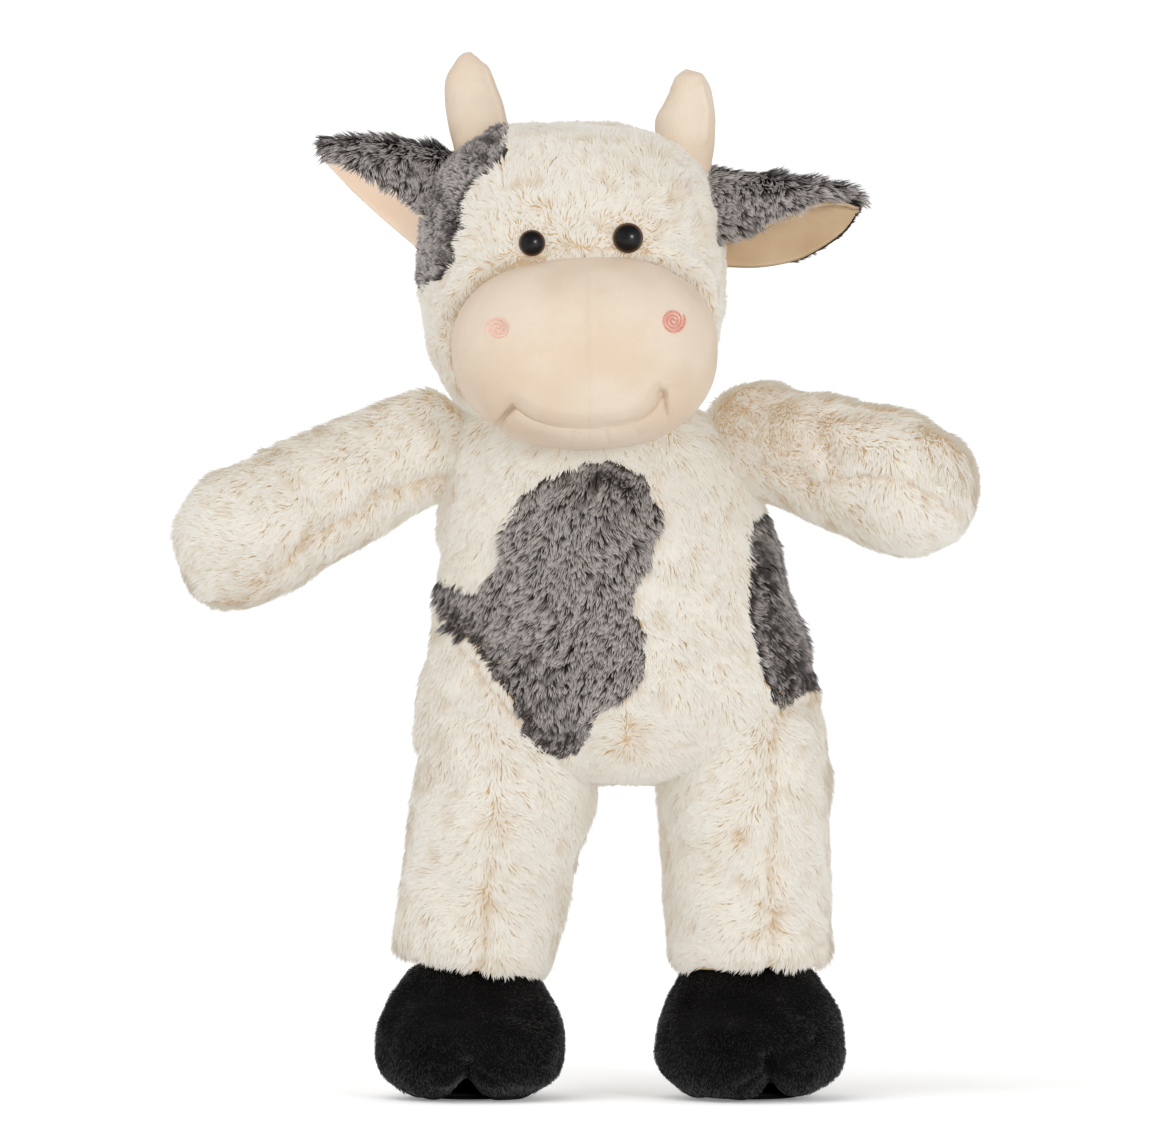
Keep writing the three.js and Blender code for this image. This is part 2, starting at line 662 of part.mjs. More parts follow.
// A hoof's form under an ankle, drawn in by a wall, from a height to its top
function hoofForm({ ankleX, pivot }, wall, bottomZ) {
  const height = hoof.height - bottomZ;
  return solid(
    shaped(turned(hoof.outlineShares, 1, height, limbSides), (p) => {
      const share = p.z / height;
      const halfLength = hoof.length / 2 - wall - (hoof.topLengthLoss / 2) * share;
      p.x = ankleX + p.x * (hoof.width / 2 - wall);
      p.y = pivot.y - hoof.toeForward * (1 - share * share) + p.y * halfLength;
      p.z += bottomZ;
    }),
  );
}

function makeLegs() {
  const reach = leg.hipRadius + leg.ankleRadius + overrun;
  for (const limb of legs) {
    const { side, ankleX } = limb;
    const { y } = limb.pivot;
    const below = (z) =>
      block(new THREE.Vector3(ankleX - reach, y - reach, -reach), new THREE.Vector3(ankleX + reach, y + reach, z));
    const upright = (radius, atY, fromZ, toZ) =>
      rod(radius, new THREE.Vector3(ankleX, atY, fromZ), new THREE.Vector3(ankleX, atY, toZ));
    const skin = limbForm(limb, 0).subtract(limbForm(limb, furWall)).subtract(below(ankleZ));
    pieces[`leg_cover_${side}`] = skin.subtract(limbMouth(limb));

    const toeY = y - hoof.toeForward - hoof.length / 2;
    const cleft = (gap) => upright(hoof.cleftRadius + gap, toeY, -overrun, hoof.cleftHeight + gap);
    const hollow = hoofForm(limb, hoofWall, -hoofWall).subtract(cleft(hoofWall)).intersect(below(hoof.height - hoofWall));
    const shoe = hoofForm(limb, 0, 0).subtract(cleft(0)).subtract(hollow);
    pieces[`hoof_cover_${side}`] = shoe.subtract(upright(hoof.mouthRadius, y, hoof.cleftHeight, ankleZ + overrun));

    const lining = hoofWall + seamGap;
    const core = hoofForm(limb, lining, -lining).subtract(cleft(lining)).subtract(below(0));
    const floorZ = hoof.soleThickness + seamGap;
    const throat = upright(hoof.mouthRadius - seamGap, y, floorZ, ankleZ + overrun / 2);
    pieces[`sole_${side}`] = core.intersect(below(hoof.soleThickness));
    pieces[`leg_stuffing_${side}`] = core
      .intersect(below(hoof.height - lining))
      .subtract(below(floorZ))
      .add(throat)
      .add(limbForm(limb, furWall + seamGap).subtract(below(ankleZ)));
  }
}

// Where the tail is sewn: against the torso's back
const backShare = readShares(torso.outlineShares, tail.upShare).value;
const back = (backShare * torso.depth) / 2 - torso.bellyBulge * Math.sin(Math.PI * tail.upShare);
const tailPivot = placeOn(torso, { up: tail.upShare });
tailPivot.x += torso.neckShift * tail.upShare ** 2;
tailPivot.y += back + seamGap + tail.radius;

function makeTail() {
  const hinge = { pivot: tailPivot, axis: new THREE.Vector3(1, 0, 0) };
  const hung = (shares, { radius, length }, drop) => {
    const made = turned(shares, radius, length, smallSides).translate(tailPivot.x, tailPivot.y, tailPivot.z - drop);
    return solid(turnedAbout(made, hinge, tail.tilt)).subtract(torsoForm(-seamGap));
  };
  const cordDrop = tail.length - tail.radius;
  pieces.tail_cord = hung(tailShares, tail, cordDrop);
  pieces.tail_tuft = hung(tuftShares, tuft, cordDrop + seamGap + tuft.length);
}

makeTorso();
makeHead();
makeMuzzle();
makeHorns();
makeEars();
makeArms();
makeLegs();
makeTail();

function finishOf(name) {
  if (/stuffing/.test(name)) return finishes.fibre;
  if (/washer/.test(name)) return finishes.plastic;
  if (/^eye/.test(name)) return finishes.glossBlack;
  if (/swirl/.test(name)) return finishes.pink;
  if (/hoof|sole/.test(name)) return finishes.black;
  if (/patch|ear_back|tuft/.test(name)) return finishes.grey;
  if (/muzzle|chin|horn|ear_lining/.test(name)) return finishes.velour;
  return finishes.cream;
}

// A solid as a named mesh, its points counted from its body's pivot
function meshOf(name, pivot) {
  const cut = pieces[name].getMesh();
  const geometry = new THREE.BufferGeometry();
  geometry.setAttribute("position", new THREE.BufferAttribute(new Float32Array(cut.vertProperties), cut.numProp));
  geometry.setIndex(new THREE.BufferAttribute(new Uint32Array(cut.triVerts), 1));
  geometry.translate(-pivot.x, -pivot.y, -pivot.z).computeVertexNormals();
  const mesh = new THREE.Mesh(geometry, new THREE.MeshStandardMaterial({ metalness: 0, ...finishOf(name) }));
  mesh.name = name;
  return mesh;
}

// A body: a group at its pivot, inside the body that carries it
function addBody(name, pivot, parent, parentPivot, names) {
  const group = new THREE.Group();
  group.name = name;
  group.position.subVectors(pivot, parentPivot);
  for (const piece of names) group.add(meshOf(piece, pivot));
  parent.add(group);
  return group;
}

const cow = new THREE.Group();
cow.name = "plush_cow";
const middle = new THREE.Vector3();
addBody("torso", middle, cow, middle, ["body_cover", "belly_patch", "side_patch", "body_stuffing"]);
const headNames = ["head_cover", "head_patch", "head_stuffing", "muzzle_panel_left", "muzzle_panel_right", "chin_panel"];
for (const side of ["left", "right"]) {
  headNames.push(`horn_${side}`, `eye_${side}`, `eye_washer_${side}`, `nostril_swirl_${side}`);
}
const head = addBody("head", neck.pivot, cow, middle, headNames);
for (const { side, share } of ears) {
  addBody(`${side}_ear`, placeOn(skull, share), head, neck.pivot, [`ear_back_${side}`, `ear_lining_${side}`]);
}
for (const { side, pivot } of arms) {
  addBody(`${side}_arm`, pivot, cow, middle, [`arm_cover_${side}`, `arm_stuffing_${side}`]);
}
for (const { side, pivot } of legs) {
  const names = [`leg_cover_${side}`, `leg_stuffing_${side}`, `hoof_cover_${side}`, `sole_${side}`];
  addBody(`${side}_leg`, pivot, cow, middle, names);
}
addBody("tail", tailPivot, cow, middle, ["tail_cord", "tail_tuft"]);

// The middle of the toy's own box stands over the origin
const box = new THREE.Box3().setFromObject(cow, true);
cow.position.set(-(box.min.x + box.max.x) / 2, -(box.min.y + box.max.y) / 2, -box.min.z);

export default cow;
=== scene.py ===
"""Dresses a standing plush cow: pile, velour face, horns and ears, black hooves, eyes and nostrils."""

import json
import logging
import math
from dataclasses import dataclass, field
from enum import Enum
from typing import Callable, Sequence

import bmesh
import bpy
import numpy as np
from mathutils import Matrix, Vector
from mathutils.kdtree import KDTree


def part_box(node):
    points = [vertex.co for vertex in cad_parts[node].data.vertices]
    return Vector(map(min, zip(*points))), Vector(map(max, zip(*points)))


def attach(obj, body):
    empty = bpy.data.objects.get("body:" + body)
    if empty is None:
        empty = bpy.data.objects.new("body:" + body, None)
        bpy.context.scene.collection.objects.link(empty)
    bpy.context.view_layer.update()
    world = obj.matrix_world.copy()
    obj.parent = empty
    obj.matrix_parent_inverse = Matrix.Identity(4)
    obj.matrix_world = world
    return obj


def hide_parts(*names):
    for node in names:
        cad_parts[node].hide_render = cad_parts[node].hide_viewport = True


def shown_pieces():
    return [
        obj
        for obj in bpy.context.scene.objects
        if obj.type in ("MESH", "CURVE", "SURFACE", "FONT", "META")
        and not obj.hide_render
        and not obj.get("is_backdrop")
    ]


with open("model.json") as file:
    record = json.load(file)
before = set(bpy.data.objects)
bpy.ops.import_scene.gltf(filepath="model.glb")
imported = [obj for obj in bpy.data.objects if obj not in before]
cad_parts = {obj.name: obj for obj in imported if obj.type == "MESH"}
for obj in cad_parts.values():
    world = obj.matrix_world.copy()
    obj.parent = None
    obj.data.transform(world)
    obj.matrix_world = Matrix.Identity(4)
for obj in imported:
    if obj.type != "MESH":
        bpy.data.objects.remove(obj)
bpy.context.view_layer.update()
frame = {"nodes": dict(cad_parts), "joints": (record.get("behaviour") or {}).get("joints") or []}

LOG = logging.getLogger("plush_cow")
MM = 0.001
IMAGE_WIDTH = 1170
MM_PER_PIXEL = 0.3817
TOY_MIDDLE_PIXEL = 575.7
FLOOR_PIXEL = 1100.0

Array = np.ndarray
Colour = tuple[float, float, float]
Point = tuple[float, float]
Region = Callable[[Array], Array]
Keep = Callable[[Array, Array], Array]
Comb = Callable[[Array, Array], Array]
UPRIGHT = np.array([0.0, 0.0, 1.0])
FRONT_VIEW = np.array([1.0, 0.0, 1.0])


def across(pixel: float) -> float:
    """The X in millimetres of a column of the photograph."""
    return (pixel - TOY_MIDDLE_PIXEL) * MM_PER_PIXEL


def height_of(pixel: float) -> float:
    """The Z in millimetres of a row of the photograph."""
    return (FLOOR_PIXEL - pixel) * MM_PER_PIXEL


def linear(colour: Colour) -> tuple[float, float, float, float]:
    """A display colour of 0 to 255 as the linear colour that a shader takes."""
    parts = [c / 255 for c in colour]
    return (*[p / 12.92 if p <= 0.04045 else ((p + 0.055) / 1.055) ** 2.4 for p in parts], 1.0)


def pivot_of(joint: str) -> Array:
    """Where a joint of the frame lies, in millimetres."""
    return next(np.array(j["pos_m"]) / MM for j in frame["joints"] if j["name"] == joint)


def unit(vectors: Array) -> Array:
    """Vectors scaled to length one."""
    return vectors / np.maximum(np.linalg.norm(vectors, axis=-1, keepdims=True), 1e-9)


def dot(a: Array, b: Array) -> Array:
    """Row by row products of two lists of vectors, kept as a column."""
    return np.sum(a * b, axis=-1, keepdims=True)


def smooth(value: Array, low: float, high: float) -> Array:
    """A step from 0 to 1 between two values, eased at both ends."""
    share = np.clip((value - low) / (high - low), 0, 1)
    return share * share * (3 - 2 * share)


class Ripple:
    """Smooth seeded noise made of plane waves."""

    def __init__(self, seed: int, wavelength: float, waves: int = 10) -> None:
        """Draws the waves.

        Args:
            seed: what the waves are drawn from.
            wavelength: the middle distance between crests, in millimetres.
            waves: how many waves are added.
        """
        draw = np.random.default_rng(seed)
        ways = unit(draw.normal(size=(waves, 3)))
        self.waves = ways * (2 * math.pi / wavelength) * draw.uniform(0.6, 1.5, (waves, 1))
        self.phases = draw.uniform(0, 2 * math.pi, waves)

    def __call__(self, places: Array) -> Array:
        """Reads the noise, from about -1 to 1, at places in millimetres."""
        return np.sin(places @ self.waves.T + self.phases).sum(axis=1) * math.sqrt(2 / len(self.phases)) * 0.7


class Socket:
    """A node's output that takes part in Python arithmetic."""

    def __init__(self, nodes: "Nodes", socket: bpy.types.NodeSocket) -> None:
        """Wraps an output of a node."""
        self.nodes = nodes
        self.socket = socket

    def _maths(self, operation: str, first: "Socket | float", second: "Socket | float") -> "Socket":
        """Adds one Math node."""
        return self.nodes.node("ShaderNodeMath", {"operation": operation}, {0: first, 1: second})

    def __add__(self, other: "Socket | float") -> "Socket":
        """Sum."""
        return self._maths("ADD", self, other)

    __radd__ = __add__

    def __sub__(self, other: "Socket | float") -> "Socket":
        """Difference."""
        return self._maths("SUBTRACT", self, other)

    def __rsub__(self, other: float) -> "Socket":
        """Difference from a number."""
        return self._maths("SUBTRACT", other, self)

    def __mul__(self, other: "Socket | float") -> "Socket":
        """Product."""
        return self._maths("MULTIPLY", self, other)

    __rmul__ = __mul__

    def __truediv__(self, other: "Socket | float") -> "Socket":
        """Quotient."""
        return self._maths("DIVIDE", self, other)

    def __pow__(self, other: "Socket | float") -> "Socket":
        """Power."""
        return self._maths("POWER", self, other)


class Nodes:
    """A node tree under construction."""

    def __init__(self, tree: bpy.types.NodeTree) -> None:
        """Wraps a tree."""
        self.tree = tree

    def node(self, kind: str, settings: dict, inputs: dict, output: int | str = 0) -> Socket:
        """Adds a node.

        Args:
            kind: the node's type name.
            settings: properties set before its sockets; "stops" fills a ramp.
            inputs: values or sockets by socket name or number.
            output: the output that is wanted.

        Returns:
            The output as a socket.
        """
        made = self.tree.nodes.new(kind)
        for key, value in settings.items():
            if key == "stops":
                ramp = made.color_ramp
                while len(ramp.elements) < len(value):
                    ramp.elements.new(0.5)
                for element, (position, colour) in zip(ramp.elements, value, strict=True):
                    element.position = position
                    element.color = colour
            else:
                setattr(made, key, value)
        for key, value in inputs.items():
            if isinstance(value, Socket):
                self.tree.links.new(value.socket, made.inputs[key])
            else:
                made.inputs[key].default_value = value
        return Socket(self, made.outputs[output])


class Shader(Nodes):
    """A material under construction around one Principled shader."""

    def __init__(self, name: str, **constants: float) -> None:
        """Starts a material.

        Args:
            name: the material's name.
            constants: values set on the Principled shader, with underscores for spaces.
        """
        self.material = bpy.data.materials.new(name)
        self.material.use_nodes = True
        super().__init__(self.material.node_tree)
        self.principled = next(n for n in self.tree.nodes if n.type == "BSDF_PRINCIPLED")
        for key, value in constants.items():
            self.principled.inputs[key.replace("_", " ").title().replace("Ior", "IOR")].default_value = value

    def coordinates(self) -> Socket:
        """Object coordinates, in metres."""
        return self.node("ShaderNodeTexCoord", {}, {}, "Object")

    def noise(self, scale: float, detail: float = 3.0) -> Socket:
        """Noise on Object coordinates, with features as small as 1/scale metres."""
        inputs = {"Vector": self.coordinates(), "Scale": scale, "Detail": detail}
        return self.node("ShaderNodeTexNoise", {}, inputs)

    def ramp(self, factor: Socket, stops: Sequence[tuple[float, Colour]]) -> Socket:
        """Reads a colour ramp of display colours."""
        return self.node("ShaderNodeValToRGB", {"stops": [(p, linear(c)) for p, c in stops]}, {0: factor})

    def mix(self, factor: Socket | float, first: Socket | Colour, second: Socket | Colour) -> Socket:
        """Mixes two colours."""
        pair = [c if isinstance(c, Socket) else linear(c) for c in (first, second)]
        return self.node("ShaderNodeMix", {"data_type": "RGBA"}, {0: factor, 6: pair[0], 7: pair[1]}, 2)

    def plug(self, name: str, value: Socket) -> None:
        """Feeds one of the Principled shader's sockets."""
        self.tree.links.new(value.socket, self.principled.inputs[name])

    def bump(self, height: Socket, distance: float) -> None:
        """Raises the surface by a height of 0 to 1 times a distance in metres."""
        inputs = {"Height": height, "Distance": distance, "Strength": 1.0}
        self.plug("Normal", self.node("ShaderNodeBump", {}, inputs))

    def glow(self, colour: Socket, strength: float = 1.0) -> None:
        """Lets the surface give off a colour."""
        self.plug("Emission Color", colour)
        self.principled.inputs["Emission Strength"].default_value = strength


class Slot(Enum):
    """The record's material slots."""

    CREAM = "cream_pile"
    GREY = "grey_pile"
    VELOUR = "velour"
    HOOF = "hoof_velour"
    THREAD = "embroidery"
    EYE = "eye_gloss"
    WASHER = "washer_plastic"
    FIBRE = "fibre"


@dataclass(frozen=True)
class PileFinish:
    """The colours of a pile from root to tip, with a lighter and a darker kind of strand.

    Pale pile can carry a painted glow, more at the roots, that stands in for light scattered through the
    fibres and lifts strands in shade.
    """

    name: str
    root: Colour
    middle: Colour
    tip: Colour
    dull_root: Colour
    dull_tip: Colour
    middle_at: float = 0.4
    # A painted glow from root to tip that lifts strands left in shade.
    glow: tuple[Colour, Colour] | None = None
    # The colour that the backing cloth's painted glow starts from, lifting the shaded gaps between strands.
    under: Colour = (0, 0, 0)

    def strands(self) -> bpy.types.Material:
        """The material of the strands, read from their UV map: U picks the tint and V runs along."""
        shader = Shader(self.name, roughness=0.85, specular_ior_level=0.2, sheen_weight=0.15)
        uv = shader.node("ShaderNodeUVMap", {"uv_map": Strands.UV_NAME}, {})
        tint, run = (shader.node("ShaderNodeSeparateXYZ", {}, {0: uv}, axis) for axis in "XY")
        along = run / Strands.V_SPAN
        bright = shader.ramp(along, [(0.0, self.root), (self.middle_at, self.middle), (1.0, self.tip)])
        dull = shader.ramp(along, [(0.0, self.dull_root), (1.0, self.dull_tip)])
        shader.plug("Base Color", shader.mix(tint, dull, bright))
        # Painted glow along the strand, strongest at the root, that lifts strands left in shade.
        if self.glow is not None:
            shader.glow(shader.ramp(along, [(0.0, self.glow[0]), (1.0, self.glow[1])]))
        return shader.material

    def cloth(self) -> bpy.types.Material:
        """The material of the backing cloth under the strands."""
        shader = Shader(self.name + "_cloth", roughness=0.95)
        grain = shader.noise(900, 4)
        shader.plug("Base Color", shader.mix(grain, self.dull_root, self.root))
        shader.bump(grain, 0.0008)
        # Painted glow on the backing cloth, so that the shaded gaps between strands read tan rather than
        # dark.
        if self.glow is not None:
            shader.glow(shader.mix(grain * 0.3, self.under, self.glow[0]))
        return shader.material


@dataclass(frozen=True)
class VelourFinish:
    """Short smooth pile: soft mottling, fine nap, a faint sheen and, if given, a painted glow that lifts its
    shaded parts.
    """

    name: str
    colour: Colour
    shade: Colour
    sheen: float
    nap: float = 0.00012
    roughness: float = 0.9
    shine: float = 0.1
    glow: Colour | None = None

    def material(self) -> bpy.types.Material:
        """The material."""
        look = {"roughness": self.roughness, "sheen_weight": self.sheen, "specular_ior_level": self.shine}
        shader = Shader(self.name, **look)
        broad = shader.ramp(shader.noise(38, 3), [(0.35, self.shade), (0.62, self.colour)])
        drawn_out = {"Vector": shader.coordinates(), "Scale": (1.0, 1.0, 0.35)}
        brushed = shader.node("ShaderNodeMapping", {}, drawn_out)
        nap = shader.node("ShaderNodeTexNoise", {}, {"Vector": brushed, "Scale": 2600.0, "Detail": 2.0})
        shader.plug("Base Color", shader.mix(nap * 0.35, broad, self.shade))
        shader.bump(nap, self.nap)
        # Painted glow that lifts the velour where it lies in shade.
        if self.glow is not None:
            shader.glow(shader.mix(nap * 0.2, self.glow, (0, 0, 0)))
        return shader.material


@dataclass(frozen=True)
class GlossFinish:
    """Polished plastic with a trace of handling."""

    name: str
    colour: Colour
    roughness: float
    coat: float
    shine: float
    rim: Colour = (74, 48, 30)

    def material(self, middle: Sequence[float] | None = None, radius: float = 1.0) -> bpy.types.Material:
        """The material.

        Args:
            middle: the middle of a dome whose rim is brown, in millimetres, or None for one colour.
            radius: that dome's radius, in millimetres.
        """
        shader = Shader(self.name, coat_weight=self.coat, coat_roughness=0.06, specular_ior_level=self.shine)
        haze = shader.noise(220, 4)
        colour = shader.mix(haze * 0.3, self.colour, tuple(c + 10 for c in self.colour))
        if middle is not None:
            shift = {"Location": [-v * MM for v in middle], "Scale": (1.0, 0.0, 1.0)}
            local = shader.node("ShaderNodeMapping", {}, {"Vector": shader.coordinates(), **shift})
            away = shader.node("ShaderNodeVectorMath", {"operation": "LENGTH"}, {0: local}, 1)
            at_rim = shader.ramp(away / (radius * MM), [(0.8, (0, 0, 0)), (0.9, (255, 255, 255))])
            colour = shader.mix(at_rim, colour, self.rim)
        shader.plug("Base Color", colour)
        shader.plug("Roughness", haze * 0.05 + self.roughness)
        return shader.material


@dataclass(frozen=True)
class ThreadFinish:
    """Satin thread."""

    name: str
    light: Colour
    deep: Colour

    def material(self) -> bpy.types.Material:
        """The material."""
        shader = Shader(self.name, roughness=0.45, specular_ior_level=0.5, sheen_weight=0.2)
        shader.plug("Base Color", shader.ramp(shader.noise(1400, 3), [(0.35, self.deep), (0.65, self.light)]))
        shader.bump(shader.noise(5200, 2), 0.00008)
        return shader.material


CREAM = PileFinish(
    "cream_pile_strands",
    root=(158, 149, 134),
    middle=(168, 166, 160),
    tip=(174, 174, 172),
    dull_root=(118, 90, 58),
    dull_tip=(150, 128, 96),
    middle_at=0.3,
    # Painted glow of the strands, root then tip, and the cloth's under colour: painted light that lifts
    # shaded pile and shaded gaps.
    glow=((158, 144, 121), (150, 148, 142)),
    under=(146, 118, 84),
)
GREY = PileFinish(
    "grey_pile_strands",
    root=(20, 16, 14),
    middle=(69, 62, 58),
    tip=(204, 196, 192),
    dull_root=(12, 10, 9),
    dull_tip=(70, 63, 60),
    middle_at=0.5,
)
HOOF_NAP = PileFinish(
    "black_nap",
    root=(5, 4, 4),
    middle=(12, 11, 11),
    tip=(25, 23, 23),
    dull_root=(5, 4, 4),
    dull_tip=(12, 11, 11),
    middle_at=0.4,
)
# Peach velour of the muzzle and horns, with a warm painted glow that lifts its shaded edges.
PEACH = VelourFinish("peach_velour", (180, 173, 161), (174, 161, 145), 0.08, 0.0002, glow=(116, 93, 72))
# Lit and shaded copies of one lining velour: LINING is the lit copy with a painted glow, for the right ear;
# SHADED_LINING carries painted shade, for the left ear.
LINING = VelourFinish("lining_velour", (190, 180, 168), (184, 168, 152), 0.08, glow=(184, 163, 143))
SHADED_LINING = VelourFinish("shaded_lining_velour", (194, 172, 144), (180, 154, 122), 0.05)
BLACK = VelourFinish("black_velour", (13, 12, 12), (5, 4, 4), 0.02, 0.0002, 0.9, 0.03)
EYE_BLACK = GlossFinish("eye_black", (5, 4, 4), 0.3, 0.22, 0.15)
PLASTIC = GlossFinish("washer_white", (214, 214, 212), 0.4, 0.0, 0.5)
PALE_PINK = ThreadFinish("pale_thread", (224, 178, 164), (212, 152, 138))
SALMON = ThreadFinish("salmon_thread", (208, 138, 122), (186, 106, 92))
FIBRE = VelourFinish("fibre_white", (240, 239, 236), (222, 220, 216), 0.0, 0.0006)


def finished(
    piece: bpy.types.Object, body: str, slot: Slot, material: bpy.types.Material, *replaced: str
) -> None:
    """Dresses a piece, hands it to a body and hides the CAD nodes it stands for.

    Args:
        piece: the finished object.
        body: the CAD body that it rides on.
        slot: the record's slot; not used.
        material: its material.
        replaced: CAD nodes that it stands for.
    """
    piece.data.materials.clear()
    piece.data.materials.append(material)
    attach(piece, body)
    if replaced:
        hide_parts(*replaced)
    LOG.info("%s: %d faces on %s", piece.name, len(piece.data.polygons), body)


def linked(name: str, mesh: bpy.types.Mesh) -> bpy.types.Object:
    """A new object in the scene, at the origin."""
    made = bpy.data.objects.new(name, mesh)
    bpy.context.scene.collection.objects.link(made)
    return made


def object_from(name: str, shape: bmesh.types.BMesh) -> bpy.types.Object:
    """Turns a bmesh in millimetres into a smooth object in metres, its faces pointing outwards."""
    bmesh.ops.remove_doubles(shape, verts=shape.verts, dist=0.002)
    bmesh.ops.recalc_face_normals(shape, faces=shape.faces)
    bmesh.ops.transform(shape, matrix=Matrix.Scale(MM, 4), verts=shape.verts)
    mesh = bpy.data.meshes.new(name)
    shape.to_mesh(mesh)
    shape.free()
    mesh.polygons.foreach_set("use_smooth", np.ones(len(mesh.polygons), dtype=bool))
    return linked(name, mesh)


def coordinates_of(shape: bmesh.types.BMesh) -> Array:
    """The vertices' places."""
    return np.array([v.co for v in shape.verts])


def normals_of(shape: bmesh.types.BMesh) -> Array:
    """The vertices' normals."""
    shape.normal_update()
    return np.array([v.normal for v in shape.verts])


def lying(way: Sequence[float]) -> Comb:
    """A comb that lays the pile the same way everywhere."""
    return lambda places, normals: np.tile(way, (len(places), 1))


def everywhere(places: Array, normals: Array) -> Array:
    """Keeps every place."""
    return np.ones(len(places), dtype=bool)


def move_to(shape: bmesh.types.BMesh, places: Array) -> None:
    """Moves every vertex to its new place."""
    for vertex, place in zip(shape.verts, places, strict=True):
        vertex.co = place


def rounded(outline: Sequence[Sequence[float]], count: int = 90) -> Array:
    """A smooth curve through an outline's points, spaced evenly along it.

    Args:
        outline: points of the outline.
        count: how many points the curve gets.

    Returns:
        The curve's points.
    """
    points = np.array(outline, float)
    ends = np.vstack([2 * points[0] - points[1], points, 2 * points[-1] - points[-2]])
    pieces = []
    for i in range(len(points) - 1):
        a, b, c, d = ends[i : i + 4]
        t = np.linspace(0, 1, 12, endpoint=i == len(points) - 2)[:, None]
        square = (2 * a - 5 * b + 4 * c - d) * t**2
        cube = (3 * b - a - 3 * c + d) * t**3
        pieces.append(0.5 * (2 * b + (c - a) * t + square + cube))
    curve = np.vstack(pieces)
    run = np.concatenate([[0], np.cumsum(np.linalg.norm(np.diff(curve, axis=0), axis=1))])
    even = np.linspace(0, run[-1], count)
    return np.stack([np.interp(even, run, column) for column in curve.T], axis=1)


def unit_ball(segments: int, rings: int) -> tuple[bmesh.types.BMesh, Array, Array]:
    """A ball of radius one.

    Args:
        segments: faces round its axis.
        rings: faces from foot to head.

    Returns:
        The ball, how far up each vertex lies from 0 to 1, and each one's direction from the axis.
    """
    shape = bmesh.new()
    bmesh.ops.create_uvsphere(shape, u_segments=segments, v_segments=rings, radius=1)
    ball = coordinates_of(shape)
    share = 1 - np.arccos(np.clip(ball[:, 2], -1, 1)) / math.pi
    outwards = unit(np.concatenate([ball[:, :2], np.zeros((len(ball), 1))], axis=1))
    return shape, share, outwards


@dataclass
class Revolved:
    """A stuffed form about a straight or leaning axis, with an oval section."""

    foot: Array
    way: Array
    width: float
    depth: float
    height: float
    outline: Sequence[Point]
    lean: Array = field(default_factory=lambda: np.zeros(3))
    fore: Array = field(default_factory=lambda: np.array([0.0, 1.0, 0.0]))

    def __post_init__(self) -> None:
        """Works out the section's two directions and the smooth outline."""
        self.way = unit(np.array(self.way, float))
        self.side = unit(np.cross(self.fore, self.way))
        self.back = np.cross(self.way, self.side)
        self.curve = rounded(self.outline)
        self.curve[:, 0] = np.maximum(self.curve[:, 0], 0)

    def mesh(self, segments: int, rings: int) -> bmesh.types.BMesh:
        """The closed form.

        Args:
            segments: faces round the axis.
            rings: faces from foot to head.

        Returns:
            A bmesh in millimetres.
        """
        shape, share, outwards = unit_ball(segments, rings)
        at = share * (len(self.curve) - 1)
        index = np.arange(len(self.curve))
        radius = np.interp(at, index, self.curve[:, 0])
        rise = np.interp(at, index, self.curve[:, 1])
        move_to(shape, self.place(outwards[:, 0] * radius, outwards[:, 1] * radius, rise))
        return shape

    def place(self, side: Array, back: Array, rise: Array) -> Array:
        """Places from shares of the half width, half depth and height."""
        flat = side[:, None] * self.side * self.width / 2 + back[:, None] * self.back * self.depth / 2
        return self.foot + flat + rise[:, None] * self.way * self.height + (rise**2)[:, None] * self.lean

    def inside(self, places: Array, margin: float = 0.0) -> Array:
        """Which places lie inside the form by at least a margin."""
        rise = (places - self.foot) @ self.way / self.height
        local = places - self.foot - (rise**2)[:, None] * self.lean
        radius = np.interp(rise, self.curve[:, 1], self.curve[:, 0], left=-1, right=-1)
        side = local @ self.side / np.maximum(radius * self.width / 2 - margin, 0.01)
        back = local @ self.back / np.maximum(radius * self.depth / 2 - margin, 0.01)
        within = (rise * self.height > margin) & ((1 - rise) * self.height > margin)
        return within & (side**2 + back**2 < 1) & (radius > 0)


@dataclass(frozen=True)
class Crease:
    """A sewn line or tuck that draws the skin in and parts the pile."""

    points: Sequence[tuple[float, float, float]]
    depth: float
    width: float

    def distance(self, places: Array) -> Array:
        """How far each place lies from the line."""
        line = np.array(self.points, float)
        best = np.full(len(places), 1e9)
        for a, b in zip(line[:-1], line[1:], strict=True):
            along = b - a
            share = np.clip((places - a) @ along / (along @ along), 0, 1)
            best = np.minimum(best, np.linalg.norm(places - a - share[:, None] * along, axis=1))
        return best

    def pull(self, places: Array) -> Array:
        """How strongly the line draws at each place, from 0 to 1."""
        return np.exp(-((self.distance(places) / self.width) ** 2))


def surface_of(piece: bpy.types.Object) -> tuple[Array, Array, Array]:
    """Corner places and corner normals of an object's triangles, in millimetres, with their areas."""
    mesh = piece.data
    mesh.calc_loop_triangles()
    corners = np.empty(len(mesh.loop_triangles) * 3, dtype=np.int64)
    mesh.loop_triangles.foreach_get("vertices", corners)
    places = np.empty(len(mesh.vertices) * 3)
    mesh.vertices.foreach_get("co", places)
    normals = np.empty(len(mesh.vertices) * 3)
    mesh.vertices.foreach_get("normal", normals)
    corners = corners.reshape(-1, 3)
    triangles = places.reshape(-1, 3)[corners] / MM
    first, second = triangles[:, 1] - triangles[:, 0], triangles[:, 2] - triangles[:, 0]
    areas = np.linalg.norm(np.cross(first, second), axis=1) / 2
    return triangles, normals.reshape(-1, 3)[corners], areas


